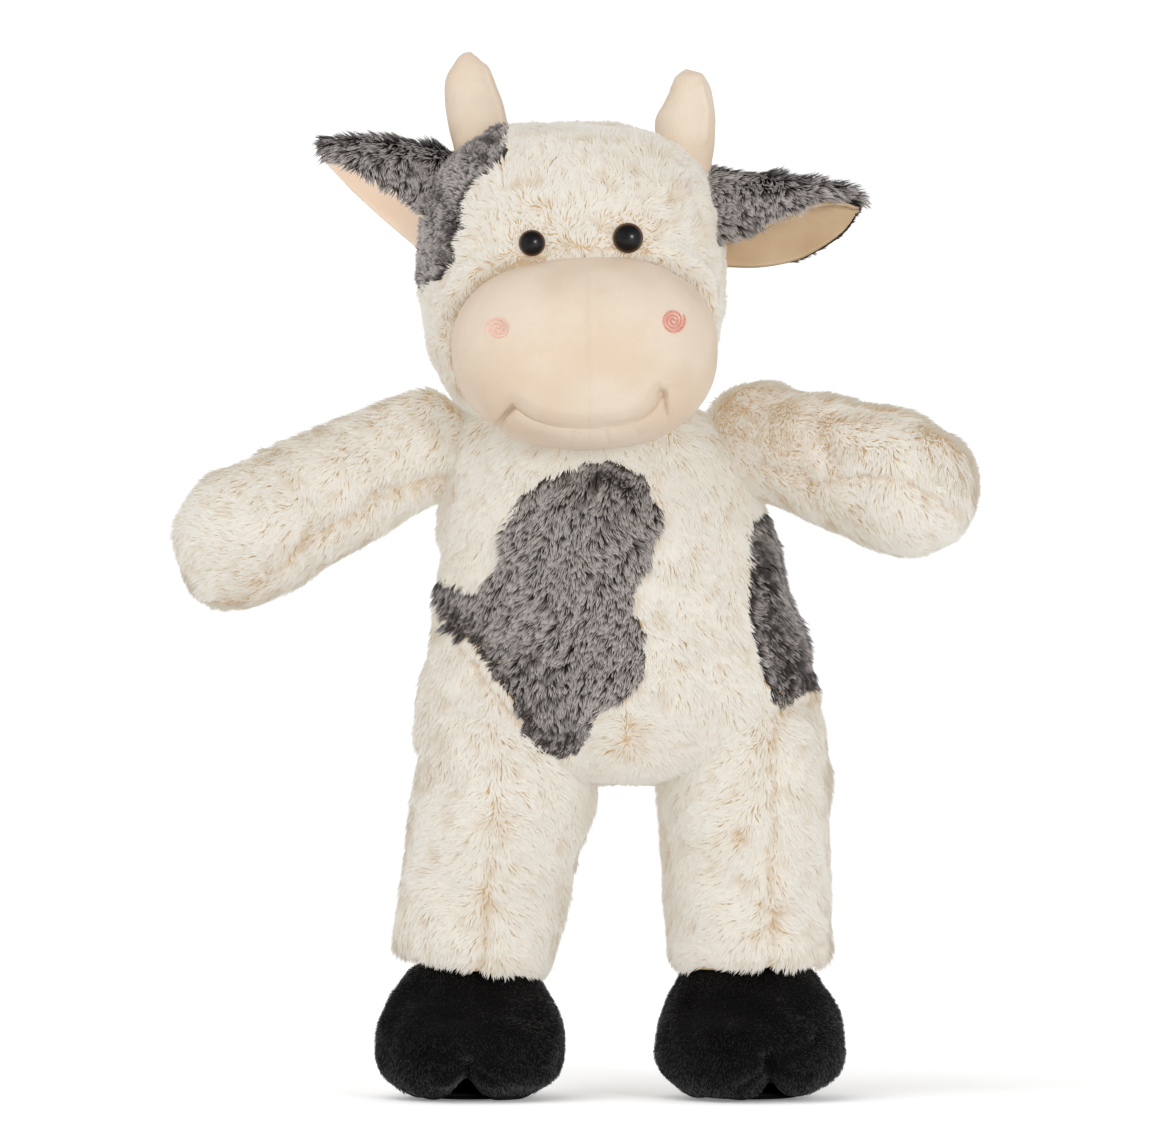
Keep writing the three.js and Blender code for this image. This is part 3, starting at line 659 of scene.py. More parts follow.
@dataclass
class Strands:
    """Strands of pile that grow from a skin: leaning, combed, gathered into locks and tapered.

    Lengths are in millimetres, density in strands to the square millimetre. The rest are shares of a
    strand's length, of the way to a lock's middle or of the way from the bright tint to the dull one.
    """

    name: str
    body: str
    length: float
    density: float
    comb: Comb
    width: float = 0.54
    rise: float = 0.38
    swirl: float = 0.55
    lock: float = 1.5
    gather: float = 0.3
    roll: float = 0.12
    blotch: float = 0.12
    gaps: float = 0.32
    # How far strands are dulled on spot marks and along creases: the spots are the pile's own colour, the
    # dulling in folds partly tan roots in the parting and partly painted shade.
    spot_and_crease_shade: float = 0.6
    seed: int = 1
    trim: Region | None = None
    creases: Sequence[Crease] = ()

    UV_NAME = "OFBake"
    U_SPAN = 0.004
    V_SPAN = 0.3
    SHARES = (0.0, 0.5, 1.0)
    WIDTHS = (0.9, 1.0)
    MOST_IN_A_PIECE = 65000
    EVENNESS = 0.92
    LENGTHS = (0.75, 1.12)
    STEEPNESS = (0.7, 1.25)
    STRAY = 0.25
    CLIPPED_IN_A_PARTING = 0.45
    BRIGHT = 0.92
    TINT_SPREAD = 0.06
    BIG_LOCK = 2.6
    BIG_LOCK_GATHER = 0.35
    LOCK_REACH = 1.6

    def thinned(self) -> float:
        return 1

    def noise(self, step: int, wavelength: float, places: Array) -> Array:
        """Smooth noise of this pile's own."""
        return Ripple(self.seed + step, wavelength)(places)

    def roots(self, piece: bpy.types.Object, keep: Keep) -> tuple[Array, Array]:
        """Scatters roots evenly over a skin.

        Args:
            piece: the skin.
            keep: tells which places carry pile, from places and normals.

        Returns:
            Places and normals.
        """
        draw = np.random.default_rng(self.seed)
        triangles, normals, areas = surface_of(piece)
        count = int(areas.sum() * self.density * self.thinned())
        which = draw.choice(len(areas), count, p=areas / areas.sum())
        u, v = draw.random((2, count))
        flip = u + v > 1
        u, v = np.where(flip, 1 - u, u), np.where(flip, 1 - v, v)
        weights = np.stack([1 - u - v, u, v], axis=1)[:, :, None]
        places = (triangles[which] * weights).sum(axis=1)
        facing = unit((normals[which] * weights).sum(axis=1))
        kept = keep(places, facing)
        return places[kept], facing[kept]

    def paths(self, roots: Array, normals: Array) -> tuple[Array, Array, Array]:
        """Shapes the strands.

        Args:
            roots: where they start.
            normals: the skin's normals there.

        Returns:
            Three points for each strand, its sideways direction at each, and its tint.
        """
        draw = np.random.default_rng(self.seed + 1)
        count = len(roots)
        comb = self.comb(roots, normals)
        comb = unit(comb - dot(comb, normals) * normals)
        aside = np.cross(normals, comb)
        wander = 0.6 * self.noise(0, 34, roots) + 0.6 * self.noise(5, 12, roots)
        wander = self.swirl * (wander + 0.35 * self.noise(6, 5, roots))
        turn = (wander + draw.normal(0, self.STRAY, count))[:, None]
        comb = comb * np.cos(turn) + aside * np.sin(turn)
        length = self.length * draw.uniform(*self.LENGTHS, count)
        if self.trim is not None:
            length = length * self.trim(roots)
        parting = np.zeros(count)
        for crease in self.creases:
            parting = np.maximum(parting, crease.pull(roots))
        length = (length * (1 - self.CLIPPED_IN_A_PARTING * parting))[:, None]
        stand = self.rise * (1 + 0.35 * self.noise(9, 16, roots))
        steep = (stand * draw.uniform(*self.STEEPNESS, count))[:, None]
        points = []
        for share in self.SHARES:
            up = steep * (1.35 * share - 0.35 * share**2)
            out = 0.8 * share + 0.15 * share**2
            points.append(roots + length * (up * normals + out * comb))
        points = np.stack(points, axis=1)
        points, _ = self.gathered(points, self.lock, self.gather, draw)
        wide, light = self.lock * self.BIG_LOCK, self.gather * self.BIG_LOCK_GATHER
        points, reach = self.gathered(points, wide, light, draw)
        along = unit(np.gradient(points, axis=1))
        flat = unit(np.cross(along, normals[:, None, :]))
        roll = draw.normal(0, self.roll, (count, 1, 1))
        sideways = flat * np.cos(roll) + np.cross(along, flat) * np.sin(roll)
        tint = self.tinted(roots, reach, parting) + draw.normal(0, self.TINT_SPREAD, count)
        return points, sideways, np.clip(tint, 0.02, 0.98)

    def tinted(self, roots: Array, reach: Array, parting: Array) -> Array:
        """Each strand's tint: duller in blotches, between the locks, on dark spot marks and along creases,
        where the dulling is partly tan roots and partly painted shade.
        """
        blotch = smooth(0.8 * self.noise(3, 30, roots) + 0.8 * self.noise(4, 6, roots), 0.5, 1.3)
        patchy = smooth(self.noise(7, 7, roots) + 0.7 * self.noise(8, 3, roots), -0.9, 0.9)
        between = smooth(reach, 0.5, 0.9) * smooth(self.noise(10, 10, roots), -0.8, 1.0)
        dull = self.BRIGHT - self.blotch * blotch - self.gaps * between
        # Dulled on spot marks and along creases: partly the pile's own colour and tan roots, partly painted
        # shade in the folds.
        return dull - self.spot_and_crease_shade * parting * (0.2 + 0.8 * patchy)

    def gathered(
        self, points: Array, spacing: float, pull: float, draw: np.random.Generator
    ) -> tuple[Array, Array]:
        """Draws the strands' tips towards the middle strand of their lock.

        Args:
            points: the strands' points.
            spacing: how far apart the locks stand.
            pull: how far the tips go, as a share of the way.
            draw: the source of chance.

        Returns:
            The new points, and each strand's distance from its lock's middle as a share of the spacing.
        """
        count = len(points)
        locks = int(count / (self.density * spacing**2 * self.thinned()))
        middles = draw.choice(count, max(1, locks), replace=False)
        tree = KDTree(len(middles))
        for i, index in enumerate(middles):
            tree.insert(points[index, 0], i)
        tree.balance()
        nearest = np.fromiter((tree.find(p)[1] for p in points[:, 0]), dtype=np.int64, count=count)
        lead = points[middles[nearest]]
        reach = np.linalg.norm(lead[:, 0] - points[:, 0], axis=1) / spacing
        shares = np.array(self.SHARES)[None, :, None]
        strength = pull * draw.uniform(0.5, 1.2, (count, 1, 1)) * (reach < self.LOCK_REACH)[:, None, None]
        return points + (lead - points) * strength * shares**1.2, reach

    def grown(self, piece: bpy.types.Object, keep: Keep, finish: PileFinish, slot: Slot) -> None:
        """Grows the pile on a skin and hands it to its body, in as many pieces as its size asks.

        Args:
            piece: the skin.
            keep: tells which places carry pile.
            finish: its colours.
            slot: the record's slot.
        """
        roots, normals = self.roots(piece, keep)
        points, sideways, tint = self.paths(roots, normals)
        parts = max(1, math.ceil(len(roots) / self.MOST_IN_A_PIECE))
        order = np.argsort(roots[:, 0], kind="stable")
        material = bpy.data.materials.get(finish.name) or finish.strands()
        for number, chosen in enumerate(np.array_split(order, parts)):
            name = self.name if parts == 1 else f"{self.name}_{number + 1}"
            made = self.woven(name, points[chosen], sideways[chosen], tint[chosen], normals[chosen])
            finished(made, self.body, slot, material)

    def woven(
        self, name: str, points: Array, sideways: Array, tint: Array, normals: Array
    ) -> bpy.types.Object:
        """One object of flat tapered strands with five vertices each.

        Args:
            name: its name.
            points: three points for each strand.
            sideways: its sideways direction at each.
            tint: its tint.
            normals: the skin's normals at the roots, which the strands' shading mostly follows.

        Returns:
            The object.
        """
        count = len(points)
        facing = unit(np.cross(sideways[:, 1], points[:, 2] - points[:, 0]))
        turned = np.sign(dot(facing, normals) + 1e-9)
        sideways = sideways * turned[:, :, None]
        shading = unit(normals * self.EVENNESS + facing * turned * (1 - self.EVENNESS))
        half = np.array(self.WIDTHS)[None, :, None] * self.width / 2
        left = points[:, :2] - sideways[:, :2] * half
        right = points[:, :2] + sideways[:, :2] * half
        rows = np.stack([left, right], axis=2).reshape(count, 4, 3)
        vertices = np.concatenate([rows, points[:, 2:]], axis=1).reshape(-1, 3) * MM
        loops = (np.arange(count)[:, None] * 5 + np.array([0, 1, 3, 2, 2, 3, 4])).ravel()
        sizes = np.tile([4, 3], count)
        mesh = bpy.data.meshes.new(name)
        mesh.vertices.add(len(vertices))
        mesh.vertices.foreach_set("co", vertices.ravel())
        mesh.loops.add(len(loops))
        mesh.loops.foreach_set("vertex_index", loops)
        mesh.polygons.add(len(sizes))
        mesh.polygons.foreach_set("loop_start", np.concatenate([[0], np.cumsum(sizes)[:-1]]))
        mesh.polygons.foreach_set("use_smooth", np.ones(len(sizes), dtype=bool))
        side = np.array([0, 1, 1, 0, 0, 1, 0.5])
        step = np.array([0, 0, 1, 1, 1, 1, 2])
        u = (tint[:, None] * (1 - self.U_SPAN) + side * self.U_SPAN).ravel()
        v = np.tile(np.array(self.SHARES)[step] * self.V_SPAN, count)
        layer = mesh.uv_layers.new(name=self.UV_NAME)
        layer.data.foreach_set("uv", np.stack([u, v], axis=1).ravel())
        mesh.update()
        mesh.normals_split_custom_set_from_vertices(np.repeat(shading, 5, axis=0))
        return linked(name, mesh)


def inside_outline(x: Array, z: Array, outline: Sequence[Point]) -> Array:
    """Which points of the front view lie inside an outline given in pixels of the photograph."""
    corners = np.array([(across(px), height_of(py)) for px, py in outline])
    within = np.zeros(len(x), dtype=bool)
    for (x0, z0), (x1, z1) in zip(corners, np.roll(corners, -1, axis=0), strict=True):
        crosses = (z0 > z) != (z1 > z)
        at = x0 + (z - z0) / np.where(z1 == z0, 1e-9, z1 - z0) * (x1 - x0)
        within ^= crosses & (x < at)
    return within


def front_line(outline: Sequence[Point]) -> tuple[tuple[float, float, float], ...]:
    """A line drawn in pixels of the photograph as points in millimetres, all at no depth."""
    return tuple((across(px), 0.0, height_of(py)) for px, py in outline)


@dataclass(frozen=True)
class FrontCrease(Crease):
    """A crease that is drawn in the front view and acts on the front alone."""

    front_of: float = 20.0

    def pull(self, places: Array) -> Array:
        """How strongly the line draws at each place, from 0 to 1."""
        return super().pull(places * FRONT_VIEW) * (places[:, 1] < self.front_of)


def drawn(outline: Sequence[Point], depth: float, width: float, front_of: float = 20.0) -> FrontCrease:
    """A crease along a line that is drawn in pixels of the photograph."""
    return FrontCrease(front_line(outline), depth, width, front_of)


def creased(shape: bmesh.types.BMesh, creases: Sequence[Crease]) -> None:
    """Draws a form in along its creases."""
    places = coordinates_of(shape)
    normals = normals_of(shape)
    for crease in creases:
        places = places - normals * (crease.pull(places) * crease.depth)[:, None]
    move_to(shape, places)


def lumpy(shape: bmesh.types.BMesh, seed: int, amount: float, wavelength: float) -> None:
    """Gives a stuffed form the slight unevenness of its filling."""
    places = coordinates_of(shape)
    move_to(shape, places + normals_of(shape) * (Ripple(seed, wavelength)(places) * amount)[:, None])


def shape_of(piece: bpy.types.Object) -> bmesh.types.BMesh:
    """A copy of an object's mesh, in millimetres."""
    shape = bmesh.new()
    shape.from_mesh(piece.data)
    bmesh.ops.transform(shape, matrix=Matrix.Scale(1 / MM, 4), verts=shape.verts)
    return shape


def let_in(skin: bpy.types.Object, name: str, within: Region) -> bpy.types.Object:
    """A patch of cloth let into a skin: the skin's faces inside an area, as a thin closed sheet.

    Args:
        skin: the skin.
        name: the patch's name.
        within: tells which places belong to the patch.

    Returns:
        The patch.
    """
    shape = shape_of(skin)
    inside = within(coordinates_of(shape))
    shape.verts.index_update()
    outside = [f for f in shape.faces if not all(inside[v.index] for v in f.verts)]
    bmesh.ops.delete(shape, geom=outside, context="FACES")
    shape.normal_update()
    for vertex in shape.verts:
        vertex.co += vertex.normal * 0.5
    bmesh.ops.solidify(shape, geom=shape.faces, thickness=0.4)
    return object_from(name, shape)


@dataclass
class Torso:
    """The torso: a pear of cream pile with two let-in dark patches."""

    wall: float = 3.4
    outline: Sequence[Point] = (
        (0, 0),
        (0.4, 0.006),
        (0.74, 0.03),
        (0.93, 0.085),
        (0.995, 0.16),
        (1, 0.24),
        (0.93, 0.36),
        (0.87, 0.5),
        (0.82, 0.65),
        (0.78, 0.77),
        (0.74, 0.86),
        (0.65, 0.93),
        (0.47, 0.98),
        (0, 1),
    )
    belly_outline: Sequence[Point] = (
        (590, 458),
        (612, 460),
        (635, 468),
        (648, 482),
        (656, 505),
        (658, 525),
        (650, 552),
        (640, 570),
        (629, 590),
        (633, 610),
        (641, 630),
        (645, 655),
        (640, 675),
        (628, 690),
        (608, 702),
        (597, 714),
        (590, 730),
        (580, 746),
        (566, 752),
        (550, 748),
        (535, 735),
        (520, 710),
        (505, 685),
        (495, 665),
        (480, 645),
        (470, 630),
        (463, 640),
        (455, 632),
        (445, 615),
        (438, 578),
        (463, 582),
        (478, 590),
        (487, 578),
        (505, 560),
        (508, 530),
        (515, 510),
        (525, 490),
        (548, 472),
    )
    flank_outline: Sequence[Point] = (
        (744, 524),
        (766, 506),
        (860, 500),
        (860, 680),
        (806, 688),
        (779, 702),
        (768, 690),
        (756, 660),
        (748, 627),
        (745, 582),
    )
    whorl: Point = (627, 742)
    front_limit: float = 6.0
    flank_limit: float = 37.0
    height: float = 153.0
    lean: float = -14.0
    hip_bulges: Sequence[tuple[int, float]] = ((-1, 6.6), (1, 2.0))
    hip_height: float = 131.0
    hip_spread: float = 11.0
    paunch: Point = (19, 140)
    paunch_spread: Point = (30, 24)
    paunch_depth: float = 8.0

    def __post_init__(self) -> None:
        """Sizes the form and its creases from the CAD cover."""
        low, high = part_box("body_cover")
        width = (high.x - low.x) / MM
        depth = (high.y - low.y) / MM
        middle_x = (high.x + low.x) / 2 / MM
        middle_y = (high.y + low.y) / 2 / MM
        wall = self.wall
        self.form = Revolved(
            foot=np.array([middle_x, middle_y, low.z / MM + wall]),
            way=UPRIGHT,
            width=width - 2 * wall,
            depth=depth - 2 * wall,
            height=self.height - 2 * wall,
            outline=self.outline,
            lean=np.array([self.lean, 0, 0]),
        )
        right_groin = [(424, 744), (450, 745), (495, 749), (546, 762), (580, 788)]
        left_groin = [(812, 694), (800, 702), (760, 735), (700, 768), (655, 790)]
        beside_patch = [(477, 656), (496, 688), (519, 711), (542, 745), (567, 773)]
        self.creases = (
            drawn(right_groin, 2.2, 2.4, 5.0),
            drawn(left_groin, 2.2, 2.4, 5.0),
            drawn(beside_patch, 1.2, 1.8),
        )

    def belly(self, places: Array) -> Array:
        """Which places belong to the belly patch."""
        wander = Ripple(31, 9)(places) * 0.8
        within = inside_outline(places[:, 0] + wander, places[:, 2] + wander, self.belly_outline)
        return within & (places[:, 1] < self.front_limit)

    def flank(self, places: Array) -> Array:
        """Which places belong to the flank patch."""
        wander = Ripple(32, 9)(places) * 0.8
        within = inside_outline(places[:, 0] + wander, places[:, 2] + wander, self.flank_outline)
        return within & (places[:, 1] < self.flank_limit + Ripple(33, 30)(places) * 4)

    def comb(self, places: Array, normals: Array) -> Array:
        """The lie of the pile: down, and a little outwards from the middle."""
        aside = (places[:, 0] - self.form.foot[0] + 6) / 60
        comb = np.stack([aside * 0.45, np.zeros(len(places)), -np.ones(len(places))], axis=1)
        away = (places - np.array(front_line([self.whorl])[0])) * FRONT_VIEW
        reach = np.linalg.norm(away, axis=1)
        near = 2.4 * np.exp(-((reach / 16) ** 2)) * (places[:, 1] < self.front_limit)
        return comb + away / (reach[:, None] + 2) * near[:, None]

    def build(self) -> bpy.types.Object:
        """Models the skin."""
        shape = self.form.mesh(96, 80)
        places = coordinates_of(shape)
        middle_y = self.form.foot[1]
        fore = smooth(middle_y - places[:, 1], 0, 20)
        places[:, 1] += (middle_y - places[:, 1]) * 0.3 * fore * smooth(170 - places[:, 2], 0, 45)
        for way, reach in self.hip_bulges:
            aside = smooth((places[:, 0] - self.form.foot[0]) * way, 25, 60)
            level = np.exp(-(((places[:, 2] - self.hip_height) / self.hip_spread) ** 2))
            places[:, 0] += way * reach * aside * level
        (x, z), (wide, tall) = self.paunch, self.paunch_spread
        near = ((places[:, 0] - x) / wide) ** 2 + ((places[:, 2] - z) / tall) ** 2
        places[:, 1] -= self.paunch_depth * np.exp(-near) * fore
        move_to(shape, places)
        creased(shape, self.creases)
        lumpy(shape, 41, 0.5, 30)
        self.skin = object_from("body_skin", shape)
        return self.skin

    def dress(self, hidden: Region) -> None:
        """Covers the skin with pile.

        Args:
            hidden: tells which places lie deep inside a limb or the head.
        """
        finished(self.skin, "torso", Slot.CREAM, CREAM.cloth(), "body_cover", "body_stuffing")
        belly = let_in(self.skin, "belly_patch_skin", self.belly)
        flank = let_in(self.skin, "side_patch_skin", self.flank)
        finished(belly, "torso", Slot.GREY, GREY.cloth(), "belly_patch")
        finished(flank, "torso", Slot.GREY, GREY.cloth(), "side_patch")

        def cream(places: Array, normals: Array) -> Array:
            return ~self.belly(places) & ~self.flank(places) & ~hidden(places)

        def dark(places: Array, normals: Array) -> Array:
            return (self.belly(places) | self.flank(places)) & ~hidden(places)

        spot = drawn([self.whorl, (self.whorl[0] + 3, self.whorl[1] + 4)], 0.0, 3.0)
        creases = [*self.creases, spot]
        pile = Strands("body_pile", "torso", 5.4, 2.65, self.comb, spot_and_crease_shade=0.85, creases=creases, seed=101)
        pile.grown(self.skin, cream, CREAM, Slot.CREAM)
        blots = (
            drawn([(455, 610), (475, 628), (505, 672), (530, 712), (560, 742)], 0.0, 5.5),
            drawn([(560, 742), (575, 735)], 0.0, 8.0),
            drawn([(600, 470), (630, 480)], 0.0, 3.5),
            drawn([(760, 690), (790, 686), (820, 670)], 0.0, 7.0),
            drawn([(752, 560), (764, 620), (784, 678)], 0.0, 6.0),
        )
        patches = Strands(
            "patch_pile", "torso", 6.0, 3.4, self.comb, rise=0.6, roll=0.35, lock=1.4, gather=0.65,
            blotch=0.45, gaps=0.0, spot_and_crease_shade=1.0, creases=blots, seed=111,
        )
        patches.grown(self.skin, dark, GREY, Slot.GREY)


@dataclass
class Head:
    """The head: a short-haired ball with a dark patch over one side, carrying the horns and ears."""

    muzzle: "Muzzle"
    wall: float = 3.1
    outline: Sequence[Point] = (
        (0, 0),
        (0.34, 0.014),
        (0.6, 0.06),
        (0.79, 0.14),
        (0.92, 0.255),
        (0.985, 0.385),
        (1, 0.52),
        (0.99, 0.64),
        (0.95, 0.755),
        (0.86, 0.86),
        (0.68, 0.945),
        (0.38, 0.988),
        (0, 1),
    )
    patch_outline: Sequence[Point] = (
        (513, 120),
        (511, 138),
        (505, 160),
        (501, 171),
        (478, 187),
        (468, 206),
        (466, 237),
        (457, 265),
        (438, 284),
        (400, 288),
        (380, 200),
        (430, 110),
    )
    width: float = 120.0
    height: float = 126.0
    neck_height: float = 249.0
    nose_bridge: tuple[float, float, float] = (3.0, -62.0, 312.0)
    roll: float = 4.2
    tuck: float = 1.2

    def __post_init__(self) -> None:
        """Sizes the ball over the neck's joint."""
        pivot = pivot_of("neck_turn")
        wall = self.wall
        self.form = Revolved(
            foot=np.array([pivot[0], pivot[1], self.neck_height + wall]),
            way=UPRIGHT,
            width=self.width - 2 * wall,
            depth=self.width - 2 * wall,
            height=self.height - 2 * wall,
            outline=self.outline,
        )

    def patch(self, places: Array) -> Array:
        """Which places belong to the dark patch."""
        wander = Ripple(34, 8)(places) * 0.8
        within = inside_outline(places[:, 0] + wander, places[:, 2] + wander, self.patch_outline)
        return within & (places[:, 1] < 50 + 4 * Ripple(35, 25)(places))

    def comb(self, places: Array, normals: Array) -> Array:
        """The lie of the pile: away from the bridge of the nose, but over the muzzle's seam beside it."""
        away = unit(places - np.array(self.nose_bridge))
        towards = unit(self.muzzle.middle + np.array([0.0, -20.0, 0.0]) - places)
        near = np.exp(-((self.muzzle.gap(places) / 5) ** 2))[:, None] * (places[:, 1:2] < 0)
        return away * (1 - near) + towards * near

    def trim(self, places: Array) -> Array:
        """How long the pile is as a share: clipped short round the eyes and the muzzle."""
        share = np.ones(len(places))
        for eye in EYES:
            gap = np.hypot(places[:, 0] - across(eye.px), places[:, 2] - height_of(eye.py))
            share *= np.where(places[:, 1] < 0, 0.35 + 0.65 * smooth(gap, 5, 16), 1)
        return share * np.where(places[:, 1] < -10, 0.8 + 0.2 * smooth(self.muzzle.gap(places), 3, 14), 1)

    def build(self) -> bpy.types.Object:
        """Models the skin."""
        shape = self.form.mesh(128, 110)
        places = coordinates_of(shape)
        normals = normals_of(shape)
        gap = self.muzzle.gap(places)
        corners = smooth(np.abs(places[:, 0] - self.muzzle.seam), 14, 26) * smooth(places[:, 2], 285, 302)
        roll = self.roll * np.exp(-(((gap - 5.5) / 3) ** 2)) - self.tuck * np.exp(-((gap / 2) ** 2))
        move_to(shape, places + normals * (roll * corners * smooth(-places[:, 1], 0, 25))[:, None])
        lumpy(shape, 43, 0.4, 26)
        self.skin = object_from("head_skin", shape)
        return self.skin

    def dress(self, hidden: Region) -> None:
        """Covers the skin with pile.

        Args:
            hidden: tells which places lie under the muzzle, horns or ears, or inside the torso.
        """
        finished(self.skin, "head", Slot.CREAM, CREAM.cloth(), "head_cover", "head_stuffing")
        patch = let_in(self.skin, "head_patch_skin", self.patch)
        finished(patch, "head", Slot.GREY, GREY.cloth(), "head_patch")

        def cream(places: Array, normals: Array) -> Array:
            return ~self.patch(places) & ~hidden(places)

        def dark(places: Array, normals: Array) -> Array:
            return self.patch(places) & ~hidden(places)

        # Along the muzzle seam, most at its upper corners, the head pile is dulled: partly tan roots in the
        # parting, partly painted shade in the crease.
        pile = Strands(
            "head_pile", "head", 4.8, 3.0, self.comb, width=0.42, swirl=1.1, trim=self.trim, blotch=0.25,
            gaps=0.38, spot_and_crease_shade=0.9, creases=[MuzzleSeam(self.muzzle)], seed=121,
        )
        pile.grown(self.skin, cream, CREAM, Slot.CREAM)
        blots = (
            drawn([(491, 148), (486, 162)], 0.0, 6.0),
            drawn([(462, 222), (455, 262)], 0.0, 4.5),
            drawn([(446, 196), (452, 206)], 0.0, 3.0),
        )
        patch_pile = Strands(
            "head_patch_pile", "head", 5.2, 3.6, self.comb, rise=0.55, roll=0.35, lock=1.4, gather=0.65,
            blotch=0.7, gaps=0.0, spot_and_crease_shade=1.0, creases=blots, seed=131,
        )
        patch_pile.grown(self.skin, dark, GREY, Slot.GREY)


@dataclass
class Arm:
    """An arm: a thick roll of cream pile that swells to a blunt paw."""

    side: str
    drop: float
    forward: float
    tip_x: float
    raised: float
    creases: Sequence[Crease]
    seed: int
    radius: float = 26.0
    wall: float = 3.3
    root: float = 19.0
    sag: float = 5.5
    outline: Sequence[Point] = (
        (0, 0),
        (0.5, 0.02),
        (0.78, 0.07),
        (0.9, 0.16),
        (0.94, 0.3),
        (1.0, 0.45),
        (1.06, 0.6),
        (1.12, 0.72),
        (1.12, 0.8),
        (1.05, 0.865),
        (0.91, 0.92),
        (0.69, 0.96),
        (0.42, 0.988),
        (0, 1),
    )

    def __post_init__(self) -> None:
        """Places the arm from its joint, raised a little where it is sewn on."""
        way_x = -1 if self.side == "right" else 1
        drop = math.radians(self.drop)
        forward = math.radians(self.forward)
        self.way = np.array(
            [way_x * math.cos(drop) * math.cos(forward), -math.cos(drop) * math.sin(forward), -math.sin(drop)]
        )
        self.foot = pivot_of(f"{self.side}_shoulder_lift") - self.way * self.root + UPRIGHT * self.raised
        length = (self.tip_x - self.foot[0]) / self.way[0]
        width = 2 * (self.radius - self.wall)
        lean = np.array([0.0, 0.0, -self.sag])
        self.form = Revolved(self.foot, self.way, width, width, length, self.outline, lean)

    def comb(self, places: Array, normals: Array) -> Array:
        """The lie of the pile: along the arm, swirling round the paw."""
        reach = (places - self.foot) @ self.way / self.form.height
        around = np.cross(self.way, places - self.foot)
        down = np.array([0.0, 0.0, -0.55])
        fade = smooth(reach, 0.7, 0.95) * (1 - 0.65 * smooth(reach, 0.93, 0.985))
        swirl = unit(around) * fade[:, None] * 0.9
        return self.way * (1 - 0.5 * smooth(reach, 0.75, 1))[:, None] + down + swirl

    def build(self) -> bpy.types.Object:
        """Models the skin."""
        shape = self.form.mesh(64, 64)
        creased(shape, self.creases)
        lumpy(shape, 51, 0.6, 28)
        self.skin = object_from(f"arm_skin_{self.side}", shape)
        return self.skin

    def dress(self, hidden: Region) -> None:
        """Covers the skin with pile.

        Args:
            hidden: tells which places lie deep inside the torso.
        """
        body = f"{self.side}_arm"
        covered = (f"arm_cover_{self.side}", f"arm_stuffing_{self.side}")
        finished(self.skin, body, Slot.CREAM, CREAM.cloth(), *covered)
        pile = Strands(
            f"arm_pile_{self.side}", body, 5.4, 2.5, self.comb, gaps=0.3, creases=self.creases, seed=self.seed
        )
        pile.grown(self.skin, lambda places, normals: ~hidden(places), CREAM, Slot.CREAM)


@dataclass
class Leg:
    """A leg: a straight column of cream pile with a hem over the hoof."""

    side: str
    ankle_x: float
    seam: Sequence[Point]
    whorls: Sequence[Point]
    hip: float
    seed: int
    wall: float = 3.3
    radius: float = 34.0
    ankle_height: float = 50.0
    above_hip: float = 30.0
    thigh: float = 9.0
    outline: Sequence[Point] = (
        (0, 0),
        (0.66, 0.0),
        (0.85, 0.01),
        (0.96, 0.05),
        (0.98, 0.2),
        (1.0, 0.4),
        (1.01, 0.6),
        (1.0, 0.75),
        (0.97, 0.86),
        (0.8, 0.95),
        (0.45, 0.99),
        (0, 1),
    )

    def __post_init__(self) -> None:
        """Places the leg from its joint."""
        hip = pivot_of(f"{self.side}_hip_swing")
        ankle = np.array([self.ankle_x, hip[1], self.ankle_height])
        way = unit(hip - ankle)
        length = float(np.linalg.norm(hip - ankle)) + self.above_hip
        size = 2 * (self.radius - self.wall)
        swell = [1 + self.hip * min(rise / 0.65, 1) ** 2 for _, rise in self.outline]
        outline = [(radius * more, rise) for more, (radius, rise) in zip(swell, self.outline, strict=True)]
        self.form = Revolved(ankle, way, size, size, length, outline)
        spots = [drawn([(px, py - 6), (px, py + 6)], 0.4, 3.0) for px, py in self.whorls]
        self.creases = (drawn(self.seam, 1.4, 1.8), *spots)

    def comb(self, places: Array, normals: Array) -> Array:
        """The lie of the pile: down, away from the seam, and out of the whorls in front."""
        front = smooth(-normals[:, 1], -0.1, 0.5)
        line = np.array(front_line(self.seam))
        seam_x = np.interp(-places[:, 2], -line[:, 2], line[:, 0])
        aside = np.tanh((places[:, 0] - seam_x) / 6) * front * 0.5
        comb = np.stack([aside, np.zeros(len(places)), -1 + 0.2 * front], axis=1)
        for middle in front_line(self.whorls):
            away = (places - np.array(middle)) * FRONT_VIEW
            reach = np.linalg.norm(away, axis=1)
            comb += away / (reach[:, None] + 2) * (1.2 * np.exp(-((reach / 15) ** 2)) * front)[:, None]
        return comb

    def build(self) -> bpy.types.Object:
        """Models the skin."""
        shape = self.form.mesh(72, 60)
        places = coordinates_of(shape)
        fore = smooth(self.form.foot[1] - places[:, 1], 0, 24)
        places[:, 1] -= self.thigh * fore * smooth(places[:, 2], 70, 122)
        move_to(shape, places)
        creased(shape, self.creases)
        lumpy(shape, 61, 0.6, 30)
        self.skin = object_from(f"leg_skin_{self.side}", shape)
        return self.skin

    def dress(self, hidden: Region) -> None:
        """Covers the skin with pile.

        Args:
            hidden: tells which places lie deep inside the torso.
        """
        body = f"{self.side}_leg"
        covered = (f"leg_cover_{self.side}", f"leg_stuffing_{self.side}")
        finished(self.skin, body, Slot.CREAM, CREAM.cloth(), *covered)

        def kept(places: Array, normals: Array) -> Array:
            return ~hidden(places) & (normals[:, 2] > -0.75)

        pile = Strands(
            f"leg_pile_{self.side}", body, 5.4, 2.45, self.comb, creases=self.creases, seed=self.seed
        )
        pile.grown(self.skin, kept, CREAM, Slot.CREAM)


